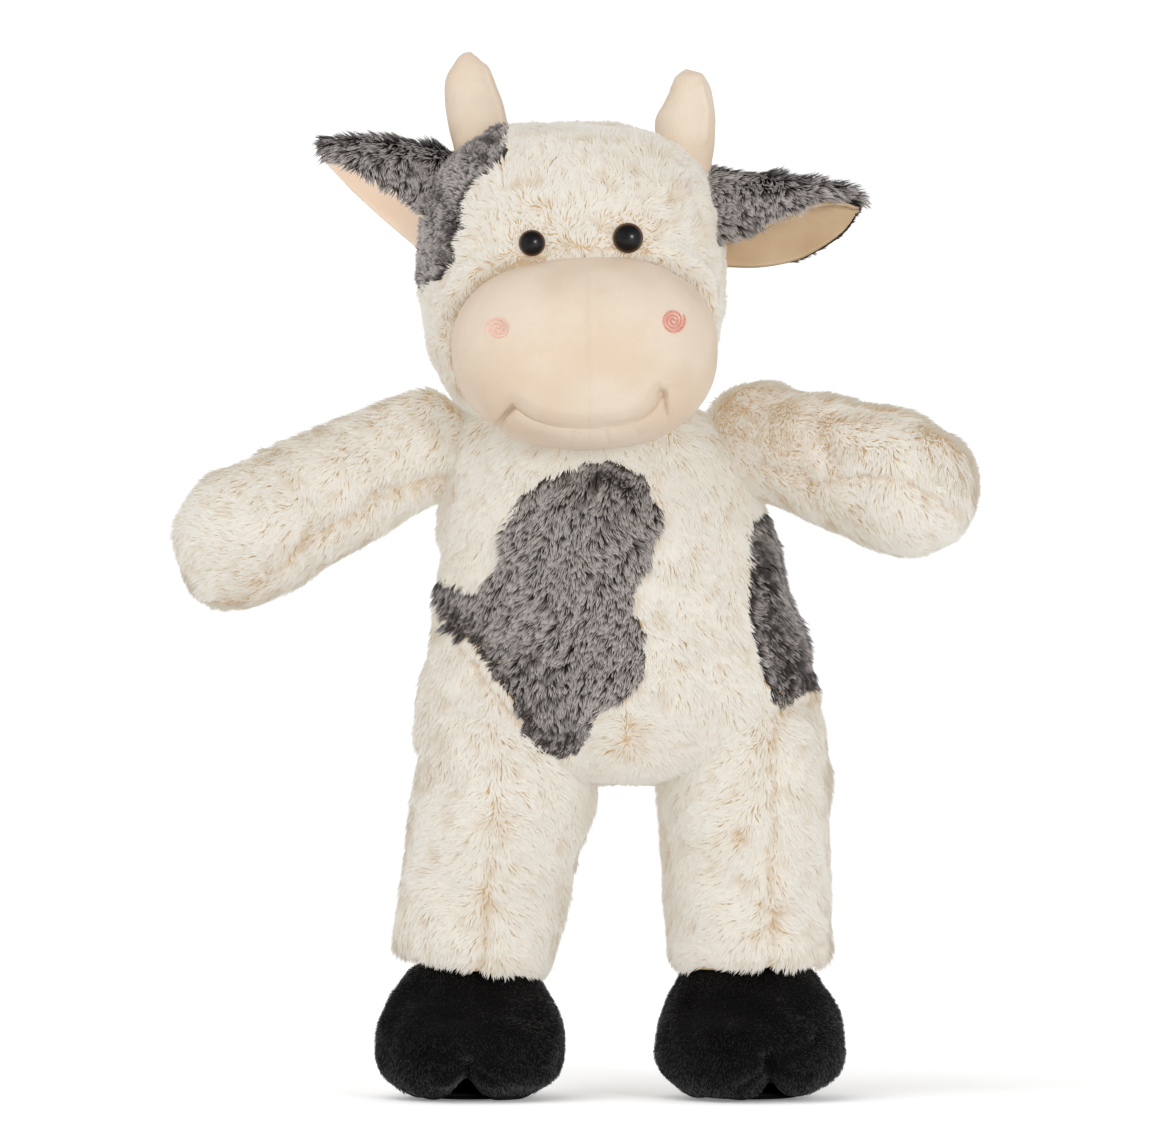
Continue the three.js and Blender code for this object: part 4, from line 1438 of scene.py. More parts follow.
@dataclass
class Hoof:
    """A black velour hoof with a tucked cleft at the toe, and its sole."""

    side: str
    tucks: Sequence[tuple[Sequence[Point], float, float]]
    lumps: int
    seed: int
    floor_gap: float = 0.1
    sole_shares: tuple[float, float, float] = (0.62, 0.66, 0.9)
    sole_shift: tuple[float, float, float] = (0, 5.0, 0.2)
    profile: Sequence[Point] = (
        (0, 0),
        (0.5, 0.0),
        (0.72, 0.05),
        (0.9, 0.15),
        (0.985, 0.28),
        (1, 0.4),
        (0.98, 0.55),
        (0.9, 0.7),
        (0.79, 0.84),
        (0.66, 0.96),
        (0.45, 1.0),
        (0, 1.01),
    )

    def build(self) -> None:
        """Models the hoof and its sole."""
        low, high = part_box(f"hoof_cover_{self.side}")
        low, high = np.array(low) / MM, np.array(high) / MM
        size = high - low
        middle = (low + high) / 2
        foot = np.array([middle[0], middle[1], 0.8])
        form = Revolved(foot, UPRIGHT, size[0], size[1], size[2] + 4, self.profile)
        shape = form.mesh(160, 110)
        places = coordinates_of(shape)
        rise = places[:, 2] / size[2]
        back = places[:, 1] - middle[1]
        places[:, 1] += np.where(rise > 0.5, (rise - 0.5) * 9, 0)
        places[:, 1] -= back * 0.36 * smooth(rise, 0.5, 0.95)
        move_to(shape, places)
        folds = [drawn(tuck, depth, width) for tuck, depth, width in self.tucks]
        creased(shape, folds)
        lumpy(shape, self.lumps, 0.7, 22)
        move_to(shape, np.maximum(coordinates_of(shape), [-np.inf, -np.inf, self.floor_gap]))
        body = f"{self.side}_leg"
        hoof = object_from(f"hoof_skin_{self.side}", shape)
        finished(hoof, body, Slot.HOOF, BLACK.material(), f"hoof_cover_{self.side}")
        nap = Strands(
            f"hoof_nap_{self.side}", body, 1.1, 1.4, lying((0.1, 0.0, -1.0)),
            width=0.3, rise=0.6, roll=0.35, lock=1.0, gather=0.2, creases=folds, seed=self.seed,
        )
        nap.grown(hoof, lambda places, normals: places[:, 2] > 2.5, HOOF_NAP, Slot.HOOF)
        self.sole(body)

    def sole(self, body: str) -> None:
        """Models the flat sole under the hoof."""
        low, high = (np.array(v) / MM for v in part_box(f"sole_{self.side}"))
        disc = bmesh.new()
        bmesh.ops.create_uvsphere(disc, u_segments=96, v_segments=24, radius=1)
        ball = coordinates_of(disc)
        squared = np.sign(ball) * np.abs(ball) ** np.array([1, 1, 0.35])
        sized = squared * (high - low) / 2 * np.array(self.sole_shares)
        move_to(disc, (low + high) / 2 + sized + np.array(self.sole_shift))
        sole = object_from(f"sole_skin_{self.side}", disc)
        finished(sole, body, Slot.HOOF, BLACK.material(), f"sole_{self.side}")


def swept_form(
    path: Array, radii: Array, up: Array, segments: int, rings: int, flat: float = 1.0
) -> bmesh.types.BMesh:
    """A closed round form along a path.

    Args:
        path: points of the path, in millimetres.
        radii: the radius at each of them.
        up: a direction that the path never takes.
        segments: faces round the path.
        rings: faces along it.
        flat: the radius along up as a share of the radius across it.

    Returns:
        A bmesh in millimetres.
    """
    shape, share, outwards = unit_ball(segments, rings)
    at = share * (len(path) - 1)
    index = np.arange(len(path))
    way = unit(np.gradient(path, axis=0))
    side = unit(np.cross(way, up))
    rise = np.cross(side, way)

    def read(values: Array) -> Array:
        return np.stack([np.interp(at, index, column) for column in values.T], axis=1)

    radius = np.interp(at, index, radii)[:, None]
    section = outwards[:, :1] * read(side) + flat * outwards[:, 1:2] * read(rise)
    move_to(shape, read(path) + radius * section)
    return shape


@dataclass(frozen=True)
class MuzzleSeam:
    """The seam where the muzzle meets the head."""

    muzzle: "Muzzle"
    width: float = 2.0

    def pull(self, places: Array) -> Array:
        """How strongly the line draws at each place: most at the two upper corners."""
        corners = smooth(np.abs(places[:, 0] - self.muzzle.seam), 16, 26) * smooth(places[:, 2], 288, 300)
        line = np.exp(-(((self.muzzle.gap(places) - 1.0) / self.width) ** 2)) * (places[:, 1] < 0)
        return line * (0.1 + 1.3 * corners)


@dataclass
class Muzzle:
    """The velour muzzle: two cheek panels, a chin panel under the smile, and two stitched nostrils."""

    width: float = 101.0
    depth: float = 90.0
    height: float = 73.0
    fullness: float = 2.35
    lip: Sequence[Point] = (
        (470, 446),
        (484, 436),
        (496, 424),
        (506, 413),
        (516, 406),
        (524, 411),
        (534, 417),
        (551, 423),
        (570, 426),
        (590, 426.5),
        (605, 425.5),
        (626, 422),
        (643, 415),
        (654, 405),
        (661, 394),
        (664, 405),
        (667, 420),
        (674, 438),
    )
    cheek_places: Sequence[Point] = ((-20, 279), (27, 279))
    cheek_spread: Point = (22, 17)
    cheek_depth: float = 1.8
    cloth: float = 1.2

    def __post_init__(self) -> None:
        """Places the muzzle from the neck's joint."""
        pivot = pivot_of("neck_turn")
        self.middle = np.array([pivot[0] + 4.6, pivot[1] - 48.0, 248.5 + self.height / 2])
        self.half = np.array([self.width, self.depth, self.height]) / 2
        lines = (
            ([(573, 430), (570, 441)], 0.45, 1.2),
            ([(604, 430), (608, 441)], 0.45, 1.2),
            ([(545, 425), (541, 434)], 0.35, 1.3),
            ([(632, 424), (637, 433)], 0.35, 1.3),
            ([(514, 406), (506, 414), (499, 427)], 1.5, 1.1),
            ([(660, 393), (662, 394)], 0.7, 1.1),
            ([(661, 394), (670, 389), (677, 388)], 0.5, 1.2),
            ([(661, 394), (656, 386)], 0.5, 1.2),
        )
        self.creases = tuple(drawn(line, depth, width, -20) for line, depth, width in lines)
        self.curve = rounded([(across(px), height_of(py)) for px, py in self.lip], 70)
        line = tuple((x, 0.0, z) for x, z in self.curve)
        self.lip_line = FrontCrease(line, 1.0, 1.0, -20)
        self.seam = across(588.5)

    def inside(self, places: Array, margin: float = 0.0) -> Array:
        """Which places lie inside the muzzle by at least a margin."""
        share = np.abs(places - self.middle) / (self.half - margin)
        return (share**self.fullness).sum(axis=1) < 1

    def gap(self, places: Array) -> Array:
        """Roughly how far outside the muzzle places lie, in millimetres."""
        share = np.abs(places - self.middle) / self.half
        return ((share**self.fullness).sum(axis=1) ** (1 / self.fullness) - 1) * 42

    def above_lip(self, places: Array) -> Array:
        """How far above the smile places lie, in millimetres, less than nothing on the chin."""
        x, z = self.curve[:, 0], self.curve[:, 1]
        slope = 1.9
        line = np.interp(places[:, 0], x, z)
        line -= slope * (np.maximum(x[0] - places[:, 0], 0) + np.maximum(places[:, 0] - x[-1], 0))
        return self.lip_line.distance(places * FRONT_VIEW) * np.sign(places[:, 2] - line)

    def front(self, x: Array, z: Array) -> Array:
        """The depth of the front surface before any crease."""
        share = np.abs((x - self.middle[0]) / self.half[0]) ** self.fullness
        share = share + np.abs((z - self.middle[2]) / self.half[2]) ** self.fullness
        return self.middle[1] - self.half[1] * np.maximum(1 - share, 0) ** (1 / self.fullness)

    def shaped(self, places: Array) -> Array:
        """Narrows the jaw, shifts the middle seam, swells the cheeks and sinks the smile's seam."""
        places = places.copy()
        low = smooth(self.middle[2] - places[:, 2], 0, self.half[2])
        places[:, 0] -= (places[:, 0] - self.middle[0]) * 0.07 * low
        reach = (places[:, 0] - self.middle[0]) / self.half[0]
        places[:, 0] += (self.seam - self.middle[0]) * np.maximum(1 - reach**2, 0)
        fore = smooth(-places[:, 1], 22, 55)
        over = self.above_lip(places)
        gap = np.abs(over)
        below = smooth(-over, -1.0, 1.0)
        x, z = places[:, 0], places[:, 2]
        left_tail = np.where(x < across(512), smooth(z, height_of(440), height_of(424)), 1)
        right_tail = np.where(x > across(660), smooth(z, height_of(426), height_of(404)), 1)
        tails = left_tail * right_tail
        upper = 1.1 * np.exp(-(((gap - 4.5) / 3.4) ** 2))
        lower = 0.8 * np.exp(-(((gap - 3.8) / 2.6) ** 2))
        roll = tails * (upper * (1 - below) + lower * below)
        line = 2.3 * np.exp(-((gap / 0.8) ** 2)) + 0.7 * np.exp(-((gap / 1.8) ** 2))
        groove = tails * (line + 1.3 * below * smooth(gap, 0, 2.0))
        places[:, 1] += fore * (groove - roll)
        wide, tall = self.cheek_spread
        for cheek_x, cheek_z in self.cheek_places:
            near = ((x - cheek_x) / wide) ** 2 + ((z - cheek_z) / tall) ** 2
            places[:, 1] -= self.cheek_depth * np.exp(-near) * fore * smooth(over, 0, 6)
        stitched = np.exp(-(((x - self.seam) / 0.7) ** 2))
        places[:, 1] += 0.5 * stitched * fore
        return places

    def build(self) -> None:
        """Models the three panels and the nostrils."""
        shape = bmesh.new()
        bmesh.ops.create_uvsphere(shape, u_segments=280, v_segments=172, radius=1)
        ball = coordinates_of(shape)
        turn = np.arctan2(ball[:, 0], -ball[:, 1])
        turn = turn - 0.42 * np.sin(turn)
        level = np.hypot(ball[:, 0], ball[:, 1])
        ball = np.stack([level * np.sin(turn), -level * np.cos(turn), ball[:, 2]], axis=1)
        places = self.middle + np.sign(ball) * np.abs(ball) ** (2 / self.fullness) * self.half
        move_to(shape, self.shaped(places))
        creased(shape, self.creases)
        lumpy(shape, 81, 0.35, 30)
        whole = object_from("muzzle_whole", shape)
        tests = {
            "muzzle_panel_right": lambda c: (self.above_lip(c) >= 0) & (c[:, 0] < self.seam),
            "muzzle_panel_left": lambda c: (self.above_lip(c) >= 0) & (c[:, 0] >= self.seam),
            "chin_panel": lambda c: self.above_lip(c) < 0,
        }
        material = PEACH.material()
        for node, test in tests.items():
            panel = self.panel(whole, node + "_skin", test)
            finished(panel, "head", Slot.VELOUR, material, node)
        bpy.data.objects.remove(whole)
        for nostril in NOSTRILS:
            nostril.build(self)

    def panel(self, whole: bpy.types.Object, name: str, test: Region) -> bpy.types.Object:
        """One panel of the muzzle as a closed sheet, thickened towards the muzzle's middle."""
        shape = shape_of(whole)
        centres = np.array([f.calc_center_median() for f in shape.faces])
        kept = test(centres) & (centres[:, 1] < -8)
        outside = [face for face, keep in zip(shape.faces, kept, strict=True) if not keep]
        bmesh.ops.delete(shape, geom=outside, context="FACES")
        made = bmesh.ops.extrude_face_region(shape, geom=shape.faces[:], use_keep_orig=True)["geom"]
        inner = [v for v in made if isinstance(v, bmesh.types.BMVert)]
        heart = Vector(self.middle)
        for vertex in inner:
            vertex.co += (heart - vertex.co).normalized() * self.cloth
        made = object_from(name, shape)
        made.data.set_sharp_from_angle(angle=math.radians(60))
        return made


@dataclass(frozen=True)
class Nostril:
    """A spiral of raised stitches that lies on the muzzle, its thread sunk a little into the cloth."""

    side: str
    px: float
    py: float
    radius: float
    turns: float
    thickness: float
    sunk: float
    thread: ThreadFinish
    steps: int = 420

    def build(self, muzzle: Muzzle) -> None:
        """Models the spiral on a muzzle."""
        share = np.linspace(0, 1, self.steps)
        angle = share * self.turns * 2 * math.pi
        reach = self.radius * (0.08 + 0.92 * share)
        x = across(self.px) + reach * np.cos(angle)
        z = height_of(self.py) + reach * np.sin(angle)
        path = muzzle.shaped(np.stack([x, muzzle.front(x, z), z], axis=1))
        path[:, 1] += self.sunk
        run = np.cumsum(np.concatenate([[0], np.linalg.norm(np.diff(path, axis=0), axis=1)]))
        stitch = 1 + 0.22 * np.sin(run * 7)
        ends = np.sqrt(np.clip(np.minimum(share, 1 - share) * 60, 0, 1))
        radii = self.thickness * stitch * ends
        shape = swept_form(path, radii, np.array([0.0, -1.0, 0.0]), 10, self.steps, 0.9)
        swirl = object_from(f"nostril_thread_{self.side}", shape)
        finished(swirl, "head", Slot.THREAD, self.thread.material(), f"nostril_swirl_{self.side}")


NOSTRILS = (
    Nostril("right", 497, 329, 4.3, 2.6, 0.34, 0.14, PALE_PINK),
    Nostril("left", 669.6, 321, 4.6, 3.1, 0.46, 0.2, SALMON),
)


@dataclass
class Horn:
    """A stuffed velour horn with a seam up its side."""

    side: str
    stations: Sequence[tuple[float, float, float]]
    seam: Sequence[Point]
    depth_share: float = 0.92

    def __post_init__(self) -> None:
        """Places the horn's path over the CAD horn."""
        low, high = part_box(f"horn_{self.side}")
        self.y = (low.y + high.y) / 2 / MM
        curve = rounded([(across(x), height_of(z), w * MM_PER_PIXEL) for x, z, w in self.stations])
        self.path = np.stack([curve[:, 0], np.full(len(curve), self.y), curve[:, 1]], axis=1)
        self.radii = np.maximum(curve[:, 2], 0)

    def inside(self, places: Array, margin: float = 0.0) -> Array:
        """Which places lie inside the horn by at least a margin."""
        gaps = np.linalg.norm(places[:, None, :] - self.path[None, ::3, :], axis=2)
        return (gaps < self.radii[None, ::3] - margin).any(axis=1)

    def build(self) -> None:
        """Models the horn."""
        shape = swept_form(self.path, self.radii, np.array([0.0, 1.0, 0.0]), 80, 110, self.depth_share)
        creased(shape, [drawn(self.seam, 0.7, 0.8, self.y + 3)])
        lumpy(shape, 91, 0.25, 14)
        horn = object_from(f"horn_skin_{self.side}", shape)
        finished(horn, "head", Slot.VELOUR, PEACH.material(), f"horn_{self.side}")


@dataclass
class Ear:
    """An ear: a leaf folded over like a gutter, dark pile outside and velour within."""

    side: str
    top: Sequence[tuple[float, float, float]]
    front: Sequence[tuple[float, float, float]]
    rear: Sequence[tuple[float, float, float]]
    fringe_shares: Point
    lining: VelourFinish
    seed: int
    thickness: float = 1.3
    steps: int = 60

    def __post_init__(self) -> None:
        """Turns the three edges into curves in millimetres."""
        edges = (self.top, self.front, self.rear)
        places = [[(across(px), y, height_of(py)) for px, y, py in edge] for edge in edges]
        self.curves = [rounded(edge, self.steps) for edge in places]

    def surface(self, along: Array, over: Array, sink: float) -> Array:
        """Places on the folded leaf.

        Args:
            along: from the root, 0, to the tip, 1.
            over: from the front edge, 0, over the fold to the rear edge, 1.
            sink: how far inside the outer face.

        Returns:
            Places in millimetres.
        """
        index = np.arange(self.steps)

        def read(curve: Array) -> Array:
            return np.stack([np.interp(along * index[-1], index, column) for column in curve.T], axis=1)

        def inset(span: Array) -> Array:
            return span * (1 - sink / np.maximum(np.linalg.norm(span, axis=1), 3))[:, None]

        top, front, rear = (read(curve) for curve in self.curves)
        middle = (front + rear) / 2
        turn = (over * math.pi)[:, None]
        return middle + np.cos(turn) * inset((front - rear) / 2) + np.sin(turn) * inset(top - middle)

    def leaf(self, name: str, low: float, high: float, rim: float) -> bpy.types.Object:
        """A closed sheet of the ear between two depths.

        Args:
            name: its name.
            low: the depth of its outer face.
            high: the depth of its inner face.
            rim: how far it runs past the edges, as a share.

        Returns:
            The sheet.
        """
        shape = bmesh.new()
        bmesh.ops.create_grid(shape, x_segments=52, y_segments=46, size=1)
        flat = coordinates_of(shape)
        along = (flat[:, 0] + 1) / 2 * 0.995
        over = (flat[:, 1] + 1) / 2 * (1 + 2 * rim) - rim
        move_to(shape, self.surface(along, over, (low + high) / 2))
        bmesh.ops.solidify(shape, geom=shape.faces, thickness=high - low)
        return object_from(name, shape)

    def inside(self, places: Array) -> Array:
        """Which places lie within the ear's root."""
        root = self.surface(np.zeros(9), np.linspace(0, 1, 9), 0.0).mean(axis=0)
        return np.linalg.norm((places - root) * np.array([1.0, 1.2, 0.7]), axis=1) < 8

    def edge_gap(self, places: Array, edge: int) -> Array:
        """How far places lie from the front edge, 1, or the rear edge, 2."""
        return np.linalg.norm(places[:, None, :] - self.curves[edge][None, ::2, :], axis=2).min(axis=1)

    def comb(self, places: Array, normals: Array) -> Array:
        """The lie of the pile: towards the tip and down, over the lining in front, along the rear edge."""
        outwards = -1 if self.side == "right" else 1
        front = np.exp(-((self.edge_gap(places, 1) / 4) ** 2))
        rear = np.exp(-((self.edge_gap(places, 2) / 6) ** 2))
        return np.stack([outwards * (0.5 + 0.5 * rear), -0.5 * front, -0.8 + 1.1 * rear], axis=1)

    def trim(self, places: Array) -> Array:
        """How far the pile is left long: longer over the front edge and short along the rear one."""
        far = np.linalg.norm(places - self.curves[0][-1], axis=1)
        at_root, at_tip = self.fringe_shares
        left = at_tip + (at_root - at_tip) * smooth(far, 16, 24)
        front = 1 + 0.4 * np.exp(-((self.edge_gap(places, 1) / 3) ** 2))
        return front * (1 - (1 - left) * np.exp(-((self.edge_gap(places, 2) / 5) ** 2)))

    def build(self) -> None:
        """Models the ear and its pile."""
        body = f"{self.side}_ear"
        back = self.leaf(f"ear_skin_{self.side}", 0.0, self.thickness, 0.0)
        finished(back, body, Slot.GREY, GREY.cloth(), f"ear_back_{self.side}")
        lining = self.leaf(f"ear_velour_{self.side}", self.thickness + 0.15, 2 * self.thickness + 0.4, 0.012)
        finished(lining, body, Slot.VELOUR, self.lining.material(), f"ear_lining_{self.side}")
        sheet = bmesh.new()
        bmesh.ops.create_grid(sheet, x_segments=50, y_segments=44, size=1)
        flat = coordinates_of(sheet)
        move_to(sheet, self.surface((flat[:, 0] + 1) / 2, (flat[:, 1] + 1) / 2, 0.0))
        outer = object_from(f"ear_outer_{self.side}", sheet)
        middle = self.surface(np.full(9, 0.4), np.linspace(0, 1, 9), 0.0).mean(axis=0)
        mesh = outer.data
        places = np.array([p.center for p in mesh.polygons]) / MM
        facing = np.array([p.normal for p in mesh.polygons])
        if ((places - middle) * facing).sum() < 0:
            mesh.flip_normals()
        pile = Strands(
            f"ear_pile_{self.side}", body, 5.8, 3.8, self.comb, rise=0.6, roll=0.35, gather=0.65,
            blotch=0.55, gaps=0.0, trim=self.trim, seed=self.seed,
        )
        pile.grown(outer, everywhere, GREY, Slot.GREY)
        bpy.data.objects.remove(outer)


@dataclass(frozen=True)
class Eye:
    """A glossy black safety eye."""

    side: str
    px: float
    py: float
    diameter: float

    def build(self) -> None:
        """Models the dome over the CAD eye."""
        low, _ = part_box(f"eye_{self.side}")
        shape = bmesh.new()
        bmesh.ops.create_uvsphere(shape, u_segments=64, v_segments=40, radius=self.diameter / 2)
        places = coordinates_of(shape) * np.array([1, 0.75, 1])
        front = low.y / MM - 1.0
        x, z = across(self.px), height_of(self.py)
        move_to(shape, places + np.array([x, front + 0.375 * self.diameter, z]))
        eye = object_from(f"eye_dome_{self.side}", shape)
        gloss = EYE_BLACK.material((x, 0.0, z), self.diameter / 2)
        finished(eye, "head", Slot.EYE, gloss, f"eye_{self.side}")


EYES = (Eye("right", 532.5, 244, 10.1), Eye("left", 627.6, 239, 11.6))


@dataclass
class Tail:
    """The tail: a cream cord that ends in a dark tuft."""

    radius: float = 4.0

    def build(self) -> None:
        """Models the cord and the tuft with their pile."""
        low, high = (np.array(v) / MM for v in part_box("tail_cord"))
        x = (low[0] + high[0]) / 2
        path = np.linspace([x, low[1] + 5, high[2] - 4], [x, high[1] - 5, low[2] - 2], 40)
        share = np.linspace(0, 1, 40)
        radii = self.radius * np.sqrt(np.clip(np.minimum(share, 1 - share) * 12, 0, 1))
        cord = object_from("tail_skin", swept_form(path, radii, np.array([1.0, 0, 0]), 28, 50))
        finished(cord, "tail", Slot.CREAM, CREAM.cloth(), "tail_cord")
        pile = Strands("tail_pile", "tail", 6, 3, lying((0.0, 0.2, -1.0)), rise=0.4, seed=201)
        pile.grown(cord, everywhere, CREAM, Slot.CREAM)
        low, high = (np.array(v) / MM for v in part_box("tail_tuft"))
        middle = (low + high) / 2
        shape = bmesh.new()
        bmesh.ops.create_uvsphere(shape, u_segments=36, v_segments=28, radius=1)
        move_to(shape, middle + np.array([0, 0, 3.5]) + coordinates_of(shape) * np.array([4.5, 4.5, 7.5]))
        tuft = object_from("tuft_skin", shape)
        finished(tuft, "tail", Slot.GREY, GREY.cloth(), "tail_tuft")
        locks = Strands("tuft_pile", "tail", 13, 4, lying((0.0, 0.1, -1.0)), rise=0.3, seed=211)
        locks.grown(tuft, everywhere, GREY, Slot.GREY)


@dataclass(frozen=True)
class Studio:
    """A white studio: pale floor, soft lights and the camera."""

    aim: tuple[float, float, float] = (0.00355, 0.0, 0.2046)
    distance: float = 5.0
    elevation: float = 1.0

    def build(self) -> None:
        """Sets the floor, lights and camera."""
        self.sky()
        shape = bmesh.new()
        bmesh.ops.create_grid(shape, x_segments=1, y_segments=1, size=4000)
        floor = object_from("floor", shape)
        shader = Shader("floor_white", roughness=0.9)
        paint = shader.mix(shader.noise(3), (246, 246, 246), (250, 250, 250))
        shader.plug("Base Color", paint)
        shader.glow(paint, 0.22)
        floor.data.materials.append(shader.material)
        floor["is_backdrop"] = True
        self.sun(np.array([-0.5, -0.6, 0.8]), 60, 1.55)
        self.catch_light()
        scene = bpy.context.scene
        camera = bpy.data.objects.new("camera", bpy.data.cameras.new("camera"))
        scene.collection.objects.link(camera)
        camera.data.sensor_width = 36
        camera.data.lens = 36 * self.distance / (IMAGE_WIDTH * MM_PER_PIXEL * MM)
        rise = math.radians(self.elevation)
        aim = Vector(self.aim)
        camera.location = aim + Vector((0, -math.cos(rise), math.sin(rise))) * self.distance
        camera.rotation_euler = (aim - camera.location).to_track_quat("-Z", "Y").to_euler()
        scene.camera = camera
        scene.view_settings.view_transform = "Standard"

    def sky(self) -> None:
        """Lights the room evenly from the sides and behind, less from above and from the camera's side."""
        world = bpy.data.worlds.new("studio")
        world.use_nodes = True
        nodes = Nodes(world.node_tree)
        background = next(n for n in nodes.tree.nodes if n.type == "BACKGROUND")
        from_above = self.level(nodes, "Z", 0.0, ((0.3, 1.0), (0.75, 0.35)))
        from_front = self.level(nodes, "Y", 1.0, ((0.05, 0.6), (0.35, 1.0)))
        nodes.tree.links.new((from_above * from_front).socket, background.inputs["Color"])
        background.inputs["Strength"].default_value = 1.06
        bpy.context.scene.world = world

    def level(self, nodes: Nodes, axis: str, shift: float, stops: Sequence[Point]) -> Socket:
        """How bright the room is along one axis.

        Args:
            nodes: the world's nodes.
            axis: X, Y or Z.
            shift: what is added to the direction's share of the axis, from -1 to 1.
            stops: pairs of the shifted share and the brightness there.

        Returns:
            The brightness as a socket.
        """
        direction = nodes.node("ShaderNodeTexCoord", {}, {}, "Generated")
        share = nodes.node("ShaderNodeSeparateXYZ", {}, {0: direction}, axis)
        greys = [(place, (light, light, light, 1.0)) for place, light in stops]
        return nodes.node("ShaderNodeValToRGB", {"stops": greys}, {0: share + shift})

    def catch_light(self) -> None:
        """Adds a small lamp beside the camera, which puts a spark in each eye."""
        lamp = bpy.data.objects.new("spark", bpy.data.lights.new("spark", "AREA"))
        bpy.context.scene.collection.objects.link(lamp)
        lamp.data.energy = 30
        lamp.data.size = 0.6
        lamp.location = (1.0, -2.4, 0.7)
        lamp.rotation_euler = (Vector((0, 0, 0.3)) - lamp.location).to_track_quat("-Z", "Y").to_euler()

    def sun(self, source: Array, softness: float, strength: float) -> None:
        """Adds one broad soft light.

        Args:
            source: the way to it.
            softness: how wide it looks, in degrees.
            strength: its irradiance.
        """
        lamp = bpy.data.objects.new("key", bpy.data.lights.new("key", "SUN"))
        bpy.context.scene.collection.objects.link(lamp)
        lamp.data.energy = strength
        lamp.data.angle = math.radians(softness)
        lamp.rotation_euler = Vector(source).to_track_quat("Z", "Y").to_euler()
        lamp.visible_glossy = False


RIGHT_HORN = Horn(
    "right",
    (
        (486, 175, 27),
        (484, 150, 30),
        (478, 123, 29),
        (472, 98, 28),
        (469, 78, 23.5),
        (469, 65, 16),
        (470, 56, 8),
        (471, 52, 0),
    ),
    ((484, 60), (490, 80), (499, 105), (505, 130)),
)
LEFT_HORN = Horn(
    "left",
    (
        (684, 185, 26),
        (683, 160, 29),
        (686, 125, 30),
        (690, 98, 23.5),
        (689, 84, 18.5),
        (687, 75, 13),
        (686, 69, 0),
    ),
    ((702, 85), (708, 110), (706, 140)),
)
RIGHT_EAR = Ear(
    "right",
    ((462, 12, 160), (430, 12, 150), (400, 11, 144), (360, 9, 141), (334, 8, 139), (322, 8, 141)),
    ((432, -3, 216), (399, -4, 189), (369, -3, 172), (344, 0, 161), (327, 4, 152), (321, 7, 144)),
    ((418, 20, 245), (384, 19, 217), (354, 17, 190), (332, 13, 167), (321, 10, 153), (320, 9, 145)),
    (0.22, 0.3),
    LINING,
    181,
)
LEFT_EAR = Ear(
    "left",
    ((696, 12, 172), (728, 12, 176), (760, 11, 181), (795, 9, 187), (832, 8, 192), (860, 8, 199)),
    ((712, -6, 240), (745, -6, 229), (778, -5, 213), (808, -3, 200), (840, 3, 197), (861, 7, 203)),
    ((722, 18, 262), (760, 17, 264), (795, 16, 259), (822, 14, 247), (846, 11, 230), (859, 9, 210)),
    (0.75, 0.3),
    SHADED_LINING,
    191,
)
RIGHT_ARM_SEAMS = (
    drawn(((453, 473), (435, 477), (403, 483), (380, 492), (359, 508), (323, 529), (294, 550)), 3.4, 3.2, 2),
    drawn(((294, 550), (278, 569), (262, 578)), 1.0, 2.4, 2),
)
LEFT_ARM_SEAMS_AND_SHADE = (
    drawn(((814, 418), (822, 436), (832, 462)), 2.6, 4.0, 2),
    drawn(((759, 459), (790, 474), (815, 479), (868, 470), (904, 477), (940, 505)), 2.0, 2.4, 2),
    # Not a seam: a wide mark with no depth that dulls the pile on the shoulder beside the head, painted
    # shade.
    drawn(((725, 412), (780, 440)), 0.0, 12.0, 2),
)
RIGHT_LEG_SEAM = ((492, 860), (486, 900), (488, 935), (482, 968))
LEFT_LEG_SEAM = ((770, 690), (771, 800), (769, 900), (776, 925), (770, 968))
RIGHT_TUCKS = (
    (((468, 1062), (467, 1080), (466, 1110)), 6.5, 4.0),
    (((466, 1096), (466, 1120)), 5.0, 7.0),
    (((436, 1046), (452, 1052), (466, 1064)), 1.3, 2.0),
    (((500, 1044), (484, 1052), (470, 1064)), 1.3, 2.0),
    (((440, 1076), (456, 1068)), 1.0, 1.8),
    (((498, 1078), (480, 1068)), 1.0, 1.8),
)
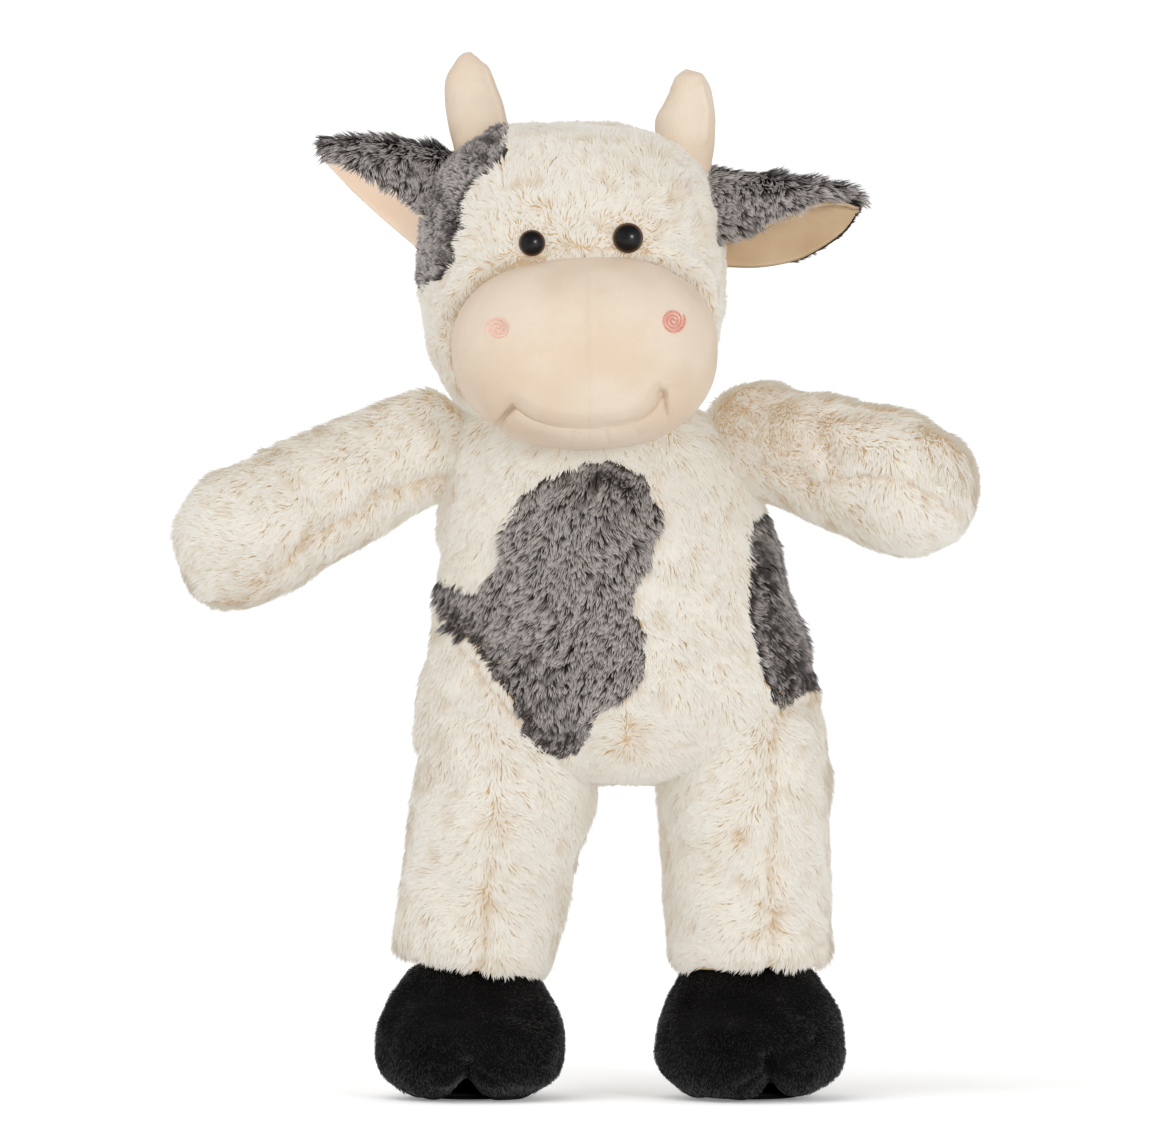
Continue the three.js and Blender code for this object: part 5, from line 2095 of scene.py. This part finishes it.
LEFT_TUCKS = (
    (((771, 1056), (772, 1080), (770, 1110)), 6.0, 3.6),
    (((771, 1096), (771, 1120)), 4.0, 7.0),
    (((728, 1044), (750, 1052), (771, 1060)), 1.8, 2.2),
    (((816, 1036), (794, 1048), (771, 1060)), 1.8, 2.2),
    (((740, 1084), (756, 1072), (771, 1062)), 1.2, 2.0),
    (((806, 1072), (788, 1066), (771, 1060)), 1.2, 2.0),
    (((760, 1034), (766, 1048)), 0.9, 2.0),
)


def dress_hidden_nodes() -> None:
    """Gives every CAD node a material, so that the hidden ones have a finish as well."""
    plastic = PLASTIC.material()
    fibre = FIBRE.material()
    for name, node in frame["nodes"].items():
        node.data.materials.clear()
        node.data.materials.append(plastic if "washer" in name else fibre)


def main() -> None:
    """Builds the toy and its studio."""
    logging.basicConfig(level=logging.INFO, format="%(name)s: %(message)s")
    dress_hidden_nodes()
    torso = Torso()
    muzzle = Muzzle()
    head = Head(muzzle)
    limbs = (
        Arm("right", 24.0, 14.0, -148.5, 4.5, RIGHT_ARM_SEAMS, 141),
        Arm("left", 10.5, 40.0, 143.5, 3.0, LEFT_ARM_SEAMS_AND_SHADE, 151),
        Leg("right", -40.3, RIGHT_LEG_SEAM, ((488, 900), (500, 820)), 0.09, 161),
        Leg("left", 67.2, LEFT_LEG_SEAM, ((772, 925), (742, 830)), 0.03, 171),
    )
    on_head = (RIGHT_HORN, LEFT_HORN, RIGHT_EAR, LEFT_EAR)
    for skin in (torso, head, *limbs):
        skin.build()

    def hidden_on_torso(places: Array) -> Array:
        under = [limb.form.inside(places, margin=14) for limb in limbs]
        under += [head.form.inside(places, margin=6), muzzle.inside(places, margin=2)]
        return np.any(under, axis=0)

    def hidden_on_head(places: Array) -> Array:
        under = [piece.inside(places) for piece in on_head]
        under += [torso.form.inside(places, margin=5), muzzle.inside(places, margin=0.5)]
        return np.any(under, axis=0)

    def hidden_on_limb(places: Array) -> Array:
        return torso.form.inside(places, margin=15)

    torso.dress(hidden_on_torso)
    head.dress(hidden_on_head)
    for limb in limbs:
        limb.dress(hidden_on_limb)
    muzzle.build()
    for piece in on_head:
        piece.build()
    Hoof("right", RIGHT_TUCKS, 71, 221).build()
    Hoof("left", LEFT_TUCKS, 72, 231).build()
    for eye in EYES:
        eye.build()
    Tail().build()
    Studio().build()
    faces = sum(len(piece.data.polygons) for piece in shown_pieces())
    LOG.info("%d faces in all", faces)


if __name__ == "__main__":
    main()
